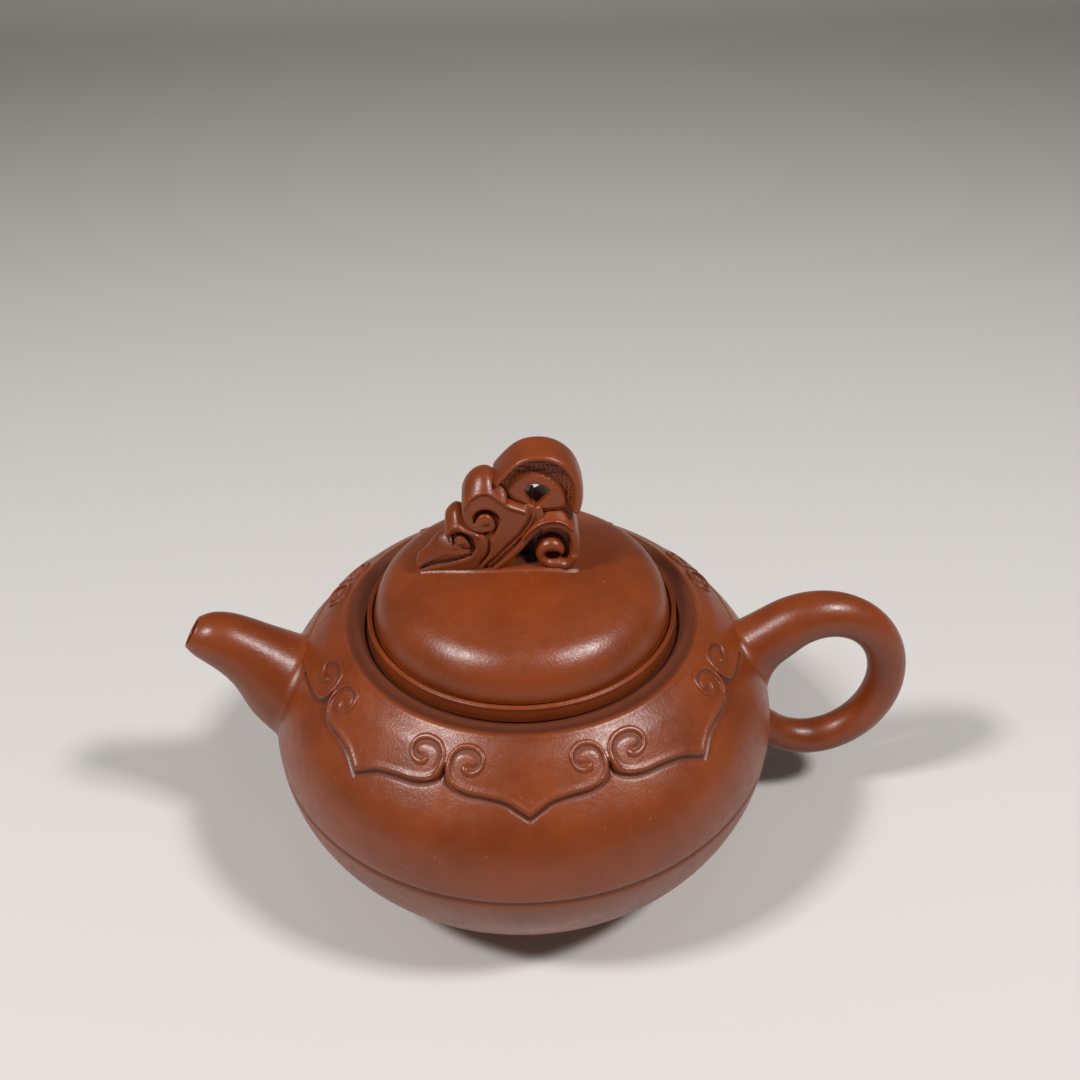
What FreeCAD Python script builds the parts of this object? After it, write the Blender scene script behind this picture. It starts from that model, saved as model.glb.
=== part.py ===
"""Clay teapot with a cloud collar and a cloud knob.

Millimetres. The foot stands on z = 0, the pot's axis is Z, the spout points
to -X and the handle to +X. The lid pieces are drawn from the underside of the
lid rim, and one placement lifts them all onto the ledge of the mouth.
"""
import FreeCAD, Part
import math
import os
import re

import Sketcher

os.makedirs("parts", exist_ok=True)
doc = FreeCAD.newDocument("teapot")
Vector = FreeCAD.Vector

# Driving dimensions: name, value, meaning
SIZES = [
    ("belly_radius", 62.8, "widest radius of the belly"),
    ("waist_height", 38.0, "height of the widest line"),
    ("wall", 3.2, "thickness of the pot wall"),
    ("lower_ease", 1.5, "lowest point of the lower wall's curve below the base"),
    ("upper_bend", 26.0, "radius of the upper wall's curve"),
    ("shoulder_angle", 41.5, "angle where the upper curve meets the shoulder"),
    ("slope_bend", 100.0, "radius of the shoulder's slow curve"),
    ("slope_angle", 10.0, "angle of the shoulder's slow curve"),
    ("crest_round", 3.0, "radius of the crest round the lid"),
    ("crest_angle", 78.0, "angle that the crest turns through"),
    ("ledge_drop", 2.45, "ledge below the crest"),
    ("ledge_inset", 1.6, "foot of the crest, inside its edge"),
    ("base_lift", 2.0, "underside of the base above the table"),
    ("base_thick", 3.4, "thickness of the base disc"),
    ("foot_inset", 23.3, "outside of the foot ring inside the widest line"),
    ("foot_width", 5.0, "width of the foot ring"),
    ("waist_line", 1.0, "width of the line round the belly"),
    ("ledge_width", 4.85, "ledge from the foot of the crest in to the mouth"),
    ("collar_thick", 0.9, "thickness of the cloud collar"),
    ("collar_angle", 36.0, "angle where the collar's band starts"),
    ("panel_count", 8, "cloud points round the collar"),
    ("notch_reach", 6.1, "notches of the collar out from the crest"),
    ("lobe_reach", 3.5, "round lobes of the collar beyond its notches"),
    ("cusp_reach", 3.0, "tips of the cloud points beyond the lobes"),
    ("scroll_width", 1.5, "width of the spiral threads"),
    ("scroll_raise", 0.7, "height of the spiral threads"),
    ("scroll_radius", 4.2, "first half turn of a spiral"),
    ("scroll_ratio", 0.62, "each half turn against the one before"),
    ("scroll_count", 3, "half turns in a spiral"),
    ("spout_reach", 17.4, "spout tip beyond the belly"),
    ("spout_rise", 26.7, "spout tip above the widest line"),
    ("spout_depth", 12.8, "spout root inside the belly"),
    ("spout_drop", 5.0, "spout root below the widest line"),
    ("spout_root_angle", 61.0, "climb of the spout at its root"),
    ("spout_tip_angle", 12.0, "climb of the spout at its tip"),
    ("spout_root_radius", 11.8, "spout radius at the wall"),
    ("spout_neck_radius", 8.6, "spout radius half way along"),
    ("spout_tip_radius", 4.8, "spout radius at its tip"),
    ("bore_root_radius", 8.0, "bore radius at the root"),
    ("bore_tip_radius", 3.4, "bore radius at the tip"),
    ("strainer_radius", 11.0, "outside radius of the strainer ball"),
    ("strainer_wall", 1.8, "thickness of the strainer"),
    ("strainer_hole", 0.9, "radius of a strainer hole"),
    ("handle_reach", 18.3, "half width of the handle's oval loop"),
    ("handle_rise", 21.1, "half height of the loop"),
    ("handle_lead", 11.0, "straight ends of the loop that run into the wall"),
    ("handle_out", 13.2, "loop centre beyond the belly"),
    ("handle_up", 3.4, "loop centre above the widest line"),
    ("handle_root", 7.8, "handle thickness radius at the upper joint"),
    ("handle_grip", 4.8, "handle thickness radius at the grip"),
    ("handle_tail", 4.3, "handle thickness radius at the lower joint"),
    ("handle_top_angle", 125.0, "upper end of the oval"),
    ("handle_low_angle", -125.0, "lower end of the oval"),
    ("seat_gap", 0.3, "lid rim above the ledge"),
    ("mouth_gap", 0.5, "flange clear of the mouth"),
    ("rim_gap", 0.85, "lid rim clear of the foot of the crest"),
    ("rim_height", 4.2, "height of the lid rim"),
    ("rim_round", 1.2, "rounding of the rim's ridge"),
    ("rim_groove", 0.4, "groove inside the ridge"),
    ("dome_inset", 1.9, "dome inside the rim"),
    ("dome_bend", 11.0, "radius of the dome's shoulder"),
    ("dome_angle", 70.0, "angle of the dome's shoulder"),
    ("lid_wall", 3.0, "thickness of the lid dome"),
    ("flange_depth", 10.0, "depth of the lid flange"),
    ("flange_wall", 2.8, "thickness of the lid flange"),
    ("vent_radius", 1.3, "radius of the vent hole"),
    ("vent_x", 1.0, "vent hole beside the right volute"),
    ("knob_depth", 13.0, "knob from front to back at its foot"),
    ("hood_depth", 9.8, "hood from front to back"),
    ("curl_depth", 11.2, "curls from front to back"),
    ("tail_depth", 7.0, "tail from front to back"),
    ("root_height", 1.6, "knob pad above the top of the dome"),
    ("root_left", 16.0, "knob pad to the left of the axis"),
    ("root_right", 13.6, "knob pad to the right of the axis"),
    ("volute_radius", 6.7, "radius of the right volute"),
    ("volute_x", 7.5, "place of the right volute"),
    ("volute_z", 6.1, "height of the right volute"),
    ("large_radius", 7.2, "radius of the large curl"),
    ("large_x", -6.3, "place of the large curl"),
    ("large_z", 15.4, "height of the large curl"),
    ("small_radius", 5.0, "radius of the small curl"),
    ("small_x", -12.9, "place of the small curl"),
    ("small_z", 6.6, "height of the small curl"),
    ("hood_radius", 10.0, "radius of the hood"),
    ("hood_x", 4.5, "place of the hood"),
    ("hood_z", 19.4, "height of the hood"),
    ("hood_lip", 2.6, "width of the hood's lip"),
    ("hood_recess", 2.6, "depth of the hood's hollow faces"),
    ("hood_eye", 2.4, "radius of the hole through the hood"),
    ("groove_ratio", 0.17, "width of a curl's groove against its radius"),
    ("curl_cut", 2.2, "depth of the groove in a curl"),
    ("tail_reach", 25.0, "tip of the tail to the left of the axis"),
    ("tail_rise", 3.4, "tail above the knob pad where it leaves the curl"),
    ("stem_width", 6.0, "foot of the stem to the right of the large curl"),
    ("stem_bend", 20.0, "radius of the stem's right edge"),
]
ALIASES = {alias for alias, number, meaning in SIZES}

sheet = doc.addObject("Spreadsheet::Sheet", "Sizes")
for row, (alias, number, meaning) in enumerate(SIZES, start=1):
    sheet.set(f"A{row}", meaning)
    sheet.set(f"B{row}", str(number))
    sheet.setAlias(f"B{row}", alias)
doc.recompute()


def formula(text):
    """The text with each size's name made a reference to the sheet."""
    return re.sub(r"[a-z_]+", lambda word: "Sizes." + word[0] if word[0] in ALIASES else word[0], text)


def value(text):
    """The number that a formula of sizes comes to."""
    return float(sheet.evalExpression(formula(text)))


def bind(item, prop, text):
    item.setExpression(prop, formula(text))


# The pot's outline, as formulas: the curves meet smoothly at these points
SLOPE_END = "(shoulder_angle + slope_angle)"
CREST_END = "(shoulder_angle + slope_angle + crest_angle)"
LOWER_BEND = "(waist_height - base_lift + lower_ease)"
LOWER_X = f"(belly_radius - {LOWER_BEND})"
UPPER_X = "(belly_radius - upper_bend)"
SLOPE_X = f"({UPPER_X} - (slope_bend - upper_bend) * cos(shoulder_angle))"
SLOPE_Z = "(waist_height - (slope_bend - upper_bend) * sin(shoulder_angle))"
CREST_X = f"({SLOPE_X} + (slope_bend - crest_round) * cos{SLOPE_END})"
CREST_Z = f"({SLOPE_Z} + (slope_bend - crest_round) * sin{SLOPE_END})"
CREST_TOP = f"({CREST_Z} + crest_round)"
CREST_FOOT = f"({CREST_X} + crest_round * cos{CREST_END} - ledge_inset)"
MOUTH = f"({CREST_FOOT} - ledge_width)"
RIM = f"({CREST_FOOT} - rim_gap)"
FOOT = "(belly_radius - foot_inset)"
NOTCH = f"({SLOPE_X} + slope_bend * cos{SLOPE_END} + notch_reach)"
LOBE = f"({NOTCH} + lobe_reach)"
CUSP = f"({LOBE} + cusp_reach)"
LEDGE = f"({CREST_TOP} - ledge_drop)"
CEILING = f"({LEDGE} - wall)"
SEAT = f"({LEDGE} + seat_gap)"
BASE_TOP = "(base_lift + base_thick)"


def on_lower(height, offset="0"):
    """Radius of the lower curve at a height, moved outward by the offset."""
    return f"({LOWER_X} + sqrt(({LOWER_BEND} + {offset})^2 - (waist_height - {height})^2))"


def on_upper(angle, offset="0"):
    """Point of the upper curve at an angle above the widest line."""
    reach = f"(upper_bend + {offset})"
    return f"({UPPER_X} + {reach} * cos({angle}))", f"(waist_height + {reach} * sin({angle}))"


def on_slope(angle, offset="0"):
    """Point of the shoulder's slow curve at an angle."""
    reach = f"(slope_bend + {offset})"
    return f"({SLOPE_X} + {reach} * cos({angle}))", f"({SLOPE_Z} + {reach} * sin({angle}))"


def plane_of(body, role):
    return next(item for item in body.Origin.OriginFeatures if item.Role == role)


def new_body(name):
    return doc.addObject("PartDesign::Body", name)


def attach(sketch, body, role):
    sketch.AttachmentSupport = [(plane_of(body, role), "")]
    sketch.MapMode = "FlatFace"


def arc_between(start, end, radius, turn):
    """Arc of under a half circle; turn is 1 anticlockwise and -1 clockwise."""
    chord = end.sub(start)
    rise = math.sqrt(radius ** 2 - (chord.Length / 2) ** 2)
    normal = Vector(-chord.y, chord.x, 0).normalize()
    centre = start + chord * 0.5 + normal * (rise * turn)
    first, last = (start, end) if turn > 0 else (end, start)
    angles = [math.atan2(spot.y - centre.y, spot.x - centre.x) for spot in (first, last)]
    circle = Part.Circle(centre, Vector(0, 0, 1), radius)
    return Part.ArcOfCircle(circle, angles[0], angles[1])


def outline(body, name, role, points, arcs=None):
    """Closed sketch through points given as pairs of formulas.

    arcs gives a side's number the formula of its radius and its turn.
    """
    arcs = arcs or {}
    sketch = body.newObject("Sketcher::SketchObject", name)
    attach(sketch, body, role)
    spots = [Vector(value(x), value(y), 0) for x, y in points]
    count = len(spots)
    ends = []
    for side in range(count):
        start, end = spots[side], spots[(side + 1) % count]
        turn = 1
        if side in arcs:
            radius, turn = arcs[side]
            sketch.addGeometry(arc_between(start, end, value(radius), turn))
        else:
            sketch.addGeometry(Part.LineSegment(start, end))
        ends.append((1, 2) if turn > 0 else (2, 1))
    for side in range(count):
        after = (side + 1) % count
        sketch.addConstraint(Sketcher.Constraint("Coincident", side, ends[side][1], after, ends[after][0]))
    for side, place in enumerate(points):
        for kind, text, axis in (("DistanceX", place[0], -2), ("DistanceY", place[1], -1)):
            if text == "0":
                sketch.addConstraint(Sketcher.Constraint("PointOnObject", side, ends[side][0], axis))
            else:
                limit = Sketcher.Constraint(kind, -1, 1, side, ends[side][0], value(text))
                bind(sketch, f"Constraints[{sketch.addConstraint(limit)}]", text)
    for side, (radius, turn) in arcs.items():
        number = sketch.addConstraint(Sketcher.Constraint("Radius", side, value(radius)))
        bind(sketch, f"Constraints[{number}]", radius)
    return sketch


def turned(name, points, arcs=None):
    """Body of revolution about Z from an outline of radii and heights."""
    body = new_body(name)
    sketch = outline(body, name + "_outline", "XZ_Plane", points, arcs)
    spin = body.newObject("PartDesign::Revolution", name + "_spin")
    spin.Profile = sketch
    spin.ReferenceAxis = (sketch, ["V_Axis"])
    spin.Angle = 360.0
    return body


def slab(name, points, depth, arcs=None):
    """Upright slab, centred front to back, from an outline of x and z."""
    body = new_body(name)
    sketch = outline(body, name + "_outline", "XZ_Plane", points, arcs)
    pad = body.newObject("PartDesign::Pad", name + "_pad")
    pad.Profile = sketch
    pad.Midplane = True
    bind(pad, "Length", depth)
    return body


def lofted(name, stations):
    """Round tapering body through stations of x, z, direction and radius formula."""
    body = new_body(name)
    rounds = []
    for number, (x, z, direction, radius) in enumerate(stations):
        sketch = body.newObject("Sketcher::SketchObject", f"{name}_round_{number}")
        attach(sketch, body, "XY_Plane")
        tilt = FreeCAD.Rotation(Vector(0, 1, 0), 90.0 - direction)
        sketch.AttachmentOffset = FreeCAD.Placement(Vector(x, 0, z), tilt)
        sketch.addGeometry(Part.Circle(Vector(0, 0, 0), Vector(0, 0, 1), value(radius)))
        sketch.addConstraint(Sketcher.Constraint("Coincident", 0, 3, -1, 1))
        limit = sketch.addConstraint(Sketcher.Constraint("Radius", 0, value(radius)))
        bind(sketch, f"Constraints[{limit}]", radius)
        rounds.append(sketch)
    loft = body.newObject("PartDesign::AdditiveLoft", name + "_loft")
    loft.Profile = rounds[0]
    loft.Sections = rounds[1:]
    return body


def cylinder(name, radius, height, place=("0", "0", "0"), along="z"):
    """Cylinder along Z from its foot, or along Y centred on its place."""
    item = doc.addObject("Part::Cylinder", name)
    bind(item, "Radius", radius)
    bind(item, "Height", height)
    if along == "y":
        item.Placement = FreeCAD.Placement(Vector(0, 0, 0), FreeCAD.Rotation(Vector(1, 0, 0), 90))
        place = (place[0], f"{place[1]} + ({height}) / 2", place[2])
    for axis, text in zip("xyz", place):
        bind(item, f"Placement.Base.{axis}", text)
    return item


def sphere(name, radius, centre):
    item = doc.addObject("Part::Sphere", name)
    bind(item, "Radius", radius)
    item.Placement.Base = centre
    return item


def torus(name, radius, thickness, height):
    item = doc.addObject("Part::Torus", name)
    bind(item, "Radius1", radius)
    bind(item, "Radius2", thickness)
    bind(item, "Placement.Base.z", height)
    return item


def cut(name, base, *tools):
    """The base less each tool in turn; the last result carries the name."""
    for number, tool in enumerate(tools):
        label = name if number == len(tools) - 1 else f"{name}_less_{number}"
        item = doc.addObject("Part::Cut", label)
        item.Base, item.Tool = base, tool
        base = item
    return base


def common(name, base, tool):
    item = doc.addObject("Part::Common", name)
    item.Base, item.Tool = base, tool
    return item


def solid_from(name, shape):
    item = doc.addObject("Part::Feature", name)
    item.Shape = shape
    return item


nodes = {}


def keep(name, item):
    """Register a finished piece under the name of its file."""
    item.Label = name
    nodes[name] = item


def pot_forms():
    """Solid of the pot's outside, and the hollow inside it."""
    upper = on_upper("shoulder_angle")
    slope = on_slope(SLOPE_END)
    crest = (f"({CREST_FOOT} + ledge_inset)", f"({CREST_Z} + crest_round * sin{CREST_END})")
    outside = turned(
        "pot_form",
        [("0", "base_lift"), (on_lower("base_lift"), "base_lift"), ("belly_radius", "waist_height"),
         upper, slope, crest, (CREST_FOOT, LEDGE), ("0", LEDGE)],
        {1: (LOWER_BEND, 1), 2: ("upper_bend", 1), 3: ("slope_bend", 1), 4: ("crest_round", 1)})
    inner_slope = on_slope(SLOPE_END, "-wall")
    inside = turned(
        "pot_hollow",
        [("0", BASE_TOP), (on_lower(BASE_TOP, "-wall"), BASE_TOP), ("belly_radius - wall", "waist_height"),
         on_upper("shoulder_angle", "-wall"), (inner_slope[0], f"min({inner_slope[1]}; {CEILING})"),
         (MOUTH, CEILING), (MOUTH, f"{LEDGE} + crest_round"),
         ("0", f"{LEDGE} + crest_round")],
        {1: (f"{LOWER_BEND} - wall", 1), 2: ("upper_bend - wall", 1)})
    return outside, inside


def pot_wall(outside, inside):
    """Base disc, lower wall, upper wall and mouth ring, cut from one shell at level seams."""
    shell = cut("pot_shell", outside, inside)
    wide = "(2 * belly_radius)"
    levels = ["0", BASE_TOP, "waist_height", CEILING, f"({CREST_TOP} + wall)"]
    pieces = []
    for number, name in enumerate(("base_slice", "lower_slice", "upper_slice", "mouth_slice")):
        low, high = levels[number], levels[number + 1]
        band = cylinder(name + "_band", wide, f"{high} - {low}", ("0", "0", low))
        pieces.append(common(name, shell, band))
    return pieces


def foot(outside):
    """Ring under the base, its top following the underside of the pot."""
    tall = "waist_height"
    ring = cut("foot_tube", cylinder("foot_outer", FOOT, tall), cylinder("foot_inner", f"{FOOT} - foot_width", tall))
    under = cut("foot_under", ring, outside)
    low = cylinder("foot_low", FOOT, BASE_TOP)
    keep("foot_ring", common("foot_slice", under, low))


def shoulder_band(name, low, high):
    """Thin layer over the shoulder, between two offsets from the pot's outside."""
    ends = "collar_angle", "shoulder_angle", SLOPE_END
    points = [on_upper(ends[0], low), on_upper(ends[1], low), on_slope(ends[2], low),
              on_slope(ends[2], high), on_upper(ends[1], high), on_upper(ends[0], high)]
    arcs = {0: (f"upper_bend + {low}", 1), 1: (f"slope_bend + {low}", 1),
            3: (f"slope_bend + {high}", -1), 4: (f"upper_bend + {high}", -1)}
    return turned(name, points, arcs)


def polar(radius, degrees):
    """Plan point, with azimuth 0 at the front of the pot and +X at 90."""
    angle = math.radians(degrees)
    return Vector(radius * math.sin(angle), -radius * math.cos(angle), 0)


# Places on half a cloud point, as shares of the way from its tip to its notch, and rises between the sizes
EAR_PLACE, EAR_RISE = 0.92, 0.6
LOBE_PLACE = 0.62
SWEEP_PLACE, SWEEP_RISE = 0.26, 0.22


def collar_plan():
    """Face of the collar seen from above: a round lobe and a hollow sweep to each tip, both sides."""
    count = int(value("panel_count"))
    half = 180.0 / count
    notch, lobe, cusp = value(NOTCH), value(LOBE), value(CUSP)
    rise = lobe - notch
    edges = []
    for panel in range(count):
        for side in (-1, 1):
            middle = panel * 2 * half
            spots = [polar(notch, middle + side * half),
                     polar(notch + EAR_RISE * rise, middle + side * half * EAR_PLACE),
                     polar(lobe, middle + side * half * LOBE_PLACE),
                     polar(lobe + SWEEP_RISE * (cusp - lobe), middle + side * half * SWEEP_PLACE),
                     polar(cusp, middle)]
            if side > 0:
                spots.reverse()
            edges.append(Part.Arc(*spots[0:3]).toShape())
            edges.append(Part.Arc(*spots[2:5]).toShape())
    return Part.Face(Part.Wire(edges))


# The two threads of a pair start this share of their half width from the notch's middle, so they join
THREAD_OVERLAP = 0.8


def scroll_plan(side):
    """Spiral strip seen from above, at the front notch: half circles on one line, each smaller."""
    half = value("scroll_width") / 2
    notch = value(NOTCH)
    line = half * 2 - notch
    radius = value("scroll_radius")
    begin = half * THREAD_OVERLAP
    out_edge = [Part.LineSegment(Vector(side * (begin - half), -notch, 0),
                                 Vector(side * (begin - half), line, 0)).toShape()]
    in_edge = [Part.LineSegment(Vector(side * (begin + half), -notch, 0),
                                Vector(side * (begin + half), line, 0)).toShape()]
    place, heading = begin, 1
    for turn in range(int(value("scroll_count"))):
        centre = place + heading * radius
        for edge, reach in ((out_edge, radius + half), (in_edge, radius - half)):
            first = Vector(side * (centre - heading * reach), line, 0)
            last = Vector(side * (centre + heading * reach), line, 0)
            top = Vector(side * centre, line + heading * reach, 0)
            edge.append(Part.Arc(first, top, last).toShape())
        place, heading = centre + heading * radius, -heading
        radius *= value("scroll_ratio")
    caps = [Part.LineSegment(out_edge[at].Vertexes[at].Point, in_edge[at].Vertexes[at].Point).toShape()
            for at in (0, -1)]
    return Part.Face(Part.Wire(Part.__sortEdges__(out_edge + in_edge + caps)))


def collar_and_scrolls(*joined):
    """Cloud collar, cut where the spout and handle join, and its paired spiral threads."""
    height = Vector(0, 0, value(f"2 * {CREST_TOP}"))
    sheet_band = shoulder_band("collar_band", "0", "collar_thick")
    thread_band = shoulder_band("thread_band", "collar_thick", "collar_thick + scroll_raise")
    plan = solid_from("collar_plan", collar_plan().extrude(height))
    keep("cloud_collar", cut("collar_piece", common("collar_cut", sheet_band, plan), *joined))
    pair = scroll_plan(-1).extrude(height).fuse(scroll_plan(1).extrude(height)).removeSplitter()
    doc.recompute()
    thread = pair.common(thread_band.Shape)
    count = int(value("panel_count"))
    for number in range(count):
        item = solid_from(f"thread_{number + 1}", thread.copy())
        spin = FreeCAD.Rotation(Vector(0, 0, 1), (number + 0.5) * 360.0 / count)
        item.Placement = FreeCAD.Placement(Vector(0, 0, 0), spin)
        keep(f"cloud_scroll_{number + 1}", item)


def spout_line():
    """Root, tip and bend point of the spout's middle line, in x and z."""
    root = Vector(-value("belly_radius - spout_depth"), 0, value("waist_height - spout_drop"))
    tip = Vector(-value("belly_radius + spout_reach"), 0, value("waist_height + spout_rise"))
    climb, level = math.radians(value("spout_root_angle")), math.radians(value("spout_tip_angle"))
    across, up = root.x - tip.x, tip.z - root.z
    run = (up * math.cos(level) - across * math.sin(level)) / math.sin(climb - level)
    bend = root + Vector(-math.cos(climb), 0, math.sin(climb)) * run
    return root, bend, tip


def spout_stations(rounds):
    """Stations along the spout's middle line from its rounds."""
    root, bend, tip = spout_line()
    stations = []
    for share, radius in rounds:
        spot = root * (1 - share) ** 2 + bend * (2 * share * (1 - share)) + tip * share ** 2
        way = (bend - root) * (1 - share) + (tip - bend) * share
        direction = math.degrees(math.atan2(way.z, way.x))
        stations.append((spot.x, spot.z, direction, radius))
    return stations


# Holes in each ring of the strainer, and how far they lean from the middle one in degrees
STRAINER_RINGS = ((1, 0), (6, 24), (12, 48))
# Rounds of the spout and of its bore: share of the way to the tip, and the radius there
SPOUT_ROUNDS = ((0, "spout_root_radius"), (0.3, "spout_root_radius"), (0.55, "spout_neck_radius"),
                (0.8, "(spout_neck_radius + spout_tip_radius) / 2"), (1, "spout_tip_radius"))
BORE_ROUNDS = [(share, f"bore_root_radius + (bore_tip_radius - bore_root_radius) * {share}")
               for share in (-0.1, 0.33, 0.67, 1.04)]


def spout_and_strainer(outside, inside, wall_pieces):
    """Spout, its bore through the wall, and the pierced ball behind the opening."""
    form = lofted("spout_form", spout_stations(SPOUT_ROUNDS))
    bore = lofted("spout_bore", spout_stations(BORE_ROUNDS))
    keep("spout", cut("spout_piece", form, outside, bore))
    root, bend, tip = spout_line()
    way = (bend - root).normalize()
    middle = root + way * value("spout_depth / 2")
    shell = sphere("strainer_out", "strainer_radius", middle)
    core = sphere("strainer_in", "strainer_radius - strainer_wall", middle)
    inward = FreeCAD.Rotation(Vector(0, 0, 1), way * -1)
    start = Vector(0, 0, value("strainer_radius - 2 * strainer_wall"))
    pins = doc.addObject("Part::Compound", "strainer_pins")
    for ring, (count, lean) in enumerate(STRAINER_RINGS):
        for number in range(count):
            pin = doc.addObject("Part::Cylinder", f"strainer_pin_{ring}_{number}")
            bind(pin, "Radius", "strainer_hole")
            bind(pin, "Height", "3 * strainer_wall")
            swing = FreeCAD.Rotation(Vector(0, 0, 1), number * 360.0 / count)
            turn = inward * swing * FreeCAD.Rotation(Vector(1, 0, 0), lean)
            pin.Placement = FreeCAD.Placement(middle + turn.multVec(start), turn)
            pins.Links = pins.Links + [pin]
    ball = common("strainer_shell", cut("strainer_ball", shell, core), inside)
    keep("strainer", cut("strainer_piece", ball, pins))
    return form, [cut(piece.Name + "_bored", piece, bore) for piece in wall_pieces]


HANDLE_ROUNDS = 13


def handle(outside):
    """Oval ring handle, thickest at its upper joint, with straight ends closed against the wall."""
    first, last = value("handle_top_angle"), value("handle_low_angle")
    centre = Vector(value("belly_radius + handle_out"), 0, value("waist_height + handle_up"))
    reach, rise, lead = value("handle_reach"), value("handle_rise"), value("handle_lead")
    stations = []
    for number in range(HANDLE_ROUNDS):
        share = number / (HANDLE_ROUNDS - 1)
        along = min(max((number - 1) / (HANDLE_ROUNDS - 3), 0), 1)
        turn = math.radians(first + (last - first) * along)
        way = Vector(reach * math.sin(turn), 0, -rise * math.cos(turn)).normalize()
        end = {0: -lead, HANDLE_ROUNDS - 1: lead}.get(number, 0)
        spot = centre + Vector(reach * math.cos(turn), 0, rise * math.sin(turn)) + way * end
        joint = "handle_root" if share < 0.5 else "handle_tail"
        radius = f"handle_grip + ({joint} - handle_grip) * {(1 - 2 * share) ** 2}"
        stations.append((spot.x, spot.z, math.degrees(math.atan2(way.z, way.x)), radius))
    form = lofted("handle_form", stations)
    keep("handle", cut("handle_piece", form, outside))
    return form


# The lid's outline, measured from the underside of its rim
RIM_TOP = "(rim_height - rim_groove)"
DOME_RADIUS = f"({RIM} - dome_inset)"
DOME_X = f"({DOME_RADIUS} - dome_bend)"
CAP_RUN = f"({DOME_X} / cos(dome_angle))"
CAP_BEND = f"({CAP_RUN} + dome_bend)"
DOME_TOP = f"({RIM_TOP} - {CAP_RUN} * sin(dome_angle) + {CAP_BEND})"
FLANGE_RADIUS = f"({MOUTH} - mouth_gap)"
FLANGE_INSIDE = f"({FLANGE_RADIUS} - flange_wall)"


def dome_outline(inset):
    """Points and arcs of the dome's curve, set in from the outside."""
    corner = (f"({DOME_X} + (dome_bend - {inset}) * cos(dome_angle))",
              f"({RIM_TOP} + (dome_bend - {inset}) * sin(dome_angle))")
    points = [(f"{DOME_RADIUS} - {inset}", RIM_TOP), corner, ("0", f"{DOME_TOP} - {inset}"), ("0", RIM_TOP)]
    return points, {0: (f"dome_bend - {inset}", 1), 1: (f"{CAP_BEND} - {inset}", 1)}


def lift(item):
    """Set a lid piece on the ledge of the mouth."""
    bind(item, "Placement.Base.z", SEAT)
    return item


def lid():
    """Dome, rim and flange; returns the solid form under the dome's outside, and the vent."""
    form = turned("dome_form", *dome_outline("0"))
    hollow = turned("dome_hollow", *dome_outline("lid_wall"))
    vent = cylinder("vent", "vent_radius", f"2 * {DOME_TOP}", ("vent_x", "0", "0"))
    keep("lid_dome", lift(cut("dome_piece", form, hollow, vent)))
    ridge = "rim_height - rim_round"
    rim = turned(
        "rim_form",
        [(FLANGE_INSIDE, "0"), (RIM, "0"), (RIM, ridge),
         (f"{RIM} - rim_round", "rim_height"), (DOME_RADIUS, RIM_TOP), (FLANGE_INSIDE, RIM_TOP)],
        {2: ("rim_round", 1)})
    keep("lid_rim", lift(rim))
    ring = turned(
        "flange_form",
        [(FLANGE_INSIDE, "-flange_depth"), (FLANGE_RADIUS, "-flange_depth"), (FLANGE_RADIUS, "0"),
         (FLANGE_INSIDE, "0")])
    keep("lid_flange", lift(ring))
    return form, vent


# A curl's groove: its middle line inside the curl's edge in groove widths, its half turns, and how they shrink
GROOVE_INSET, GROOVE_COUNT, GROOVE_SHRINK = 1.6, 3, 0.64


def curl_groove(name, x, z, radius, depth):
    """Spiral grooves for both faces of a curl, half circles on one level line."""
    width = value("groove_ratio") * value(radius)
    reach = value(radius) - width * GROOVE_INSET
    middle = Vector(value(x), 0, value(f"{DOME_TOP} + {z}"))
    out_edge, in_edge = [], []
    place, heading = -reach, 1
    for turn in range(GROOVE_COUNT):
        centre = place + heading * reach
        for edge, arm in ((out_edge, reach + width / 2), (in_edge, reach - width / 2)):
            spots = [middle + Vector(centre - heading * arm, 0, 0),
                     middle + Vector(centre, 0, heading * arm),
                     middle + Vector(centre + heading * arm, 0, 0)]
            edge.append(Part.Arc(*spots).toShape())
        place, heading = centre + heading * reach, -heading
        reach *= GROOVE_SHRINK
    caps = [Part.LineSegment(out_edge[at].Vertexes[at].Point, in_edge[at].Vertexes[at].Point).toShape()
            for at in (0, -1)]
    face = Part.Face(Part.Wire(Part.__sortEdges__(out_edge + in_edge + caps)))
    half, deep = value(depth) / 2, value("curl_cut")
    front = face.translated(Vector(0, -half, 0)).extrude(Vector(0, deep, 0))
    back = face.translated(Vector(0, half - deep, 0)).extrude(Vector(0, deep, 0))
    return solid_from(name, Part.makeCompound([front, back]))


def curl(name, depth):
    """Round curl standing across the knob, with a spiral groove on both faces, and its plain disc."""
    x, z, radius = name + "_x", name + "_z", name + "_radius"
    disc = cylinder(name + "_disc", radius, depth, (x, "0", f"{DOME_TOP} + {z}"), along="y")
    return cut(name + "_form", disc, curl_groove(name + "_groove", x, z, radius, depth)), disc


def hood():
    """Hooded cloud head: hollow faces under a lip, pierced right through, and its plain disc."""
    centre = f"{DOME_TOP} + hood_z"
    disc = cylinder("hood_disc", "hood_radius", "hood_depth", ("hood_x", "0", centre), along="y")
    low = f"{centre} - hood_lip / 2"
    inner = "hood_radius - hood_lip"
    shift = "(hood_depth - hood_recess) / 2"
    faces = [cylinder(f"hood_face_{side}", inner, "hood_recess", ("hood_x", f"{sign}{shift}", low), along="y")
             for side, sign in (("front", "-"), ("back", ""))]
    eye = cylinder("hood_eye_pin", "hood_eye", "2 * hood_depth", ("hood_x", "0", f"{centre} - hood_lip"), along="y")
    return cut("hood_form", disc, *faces, eye), disc


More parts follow.
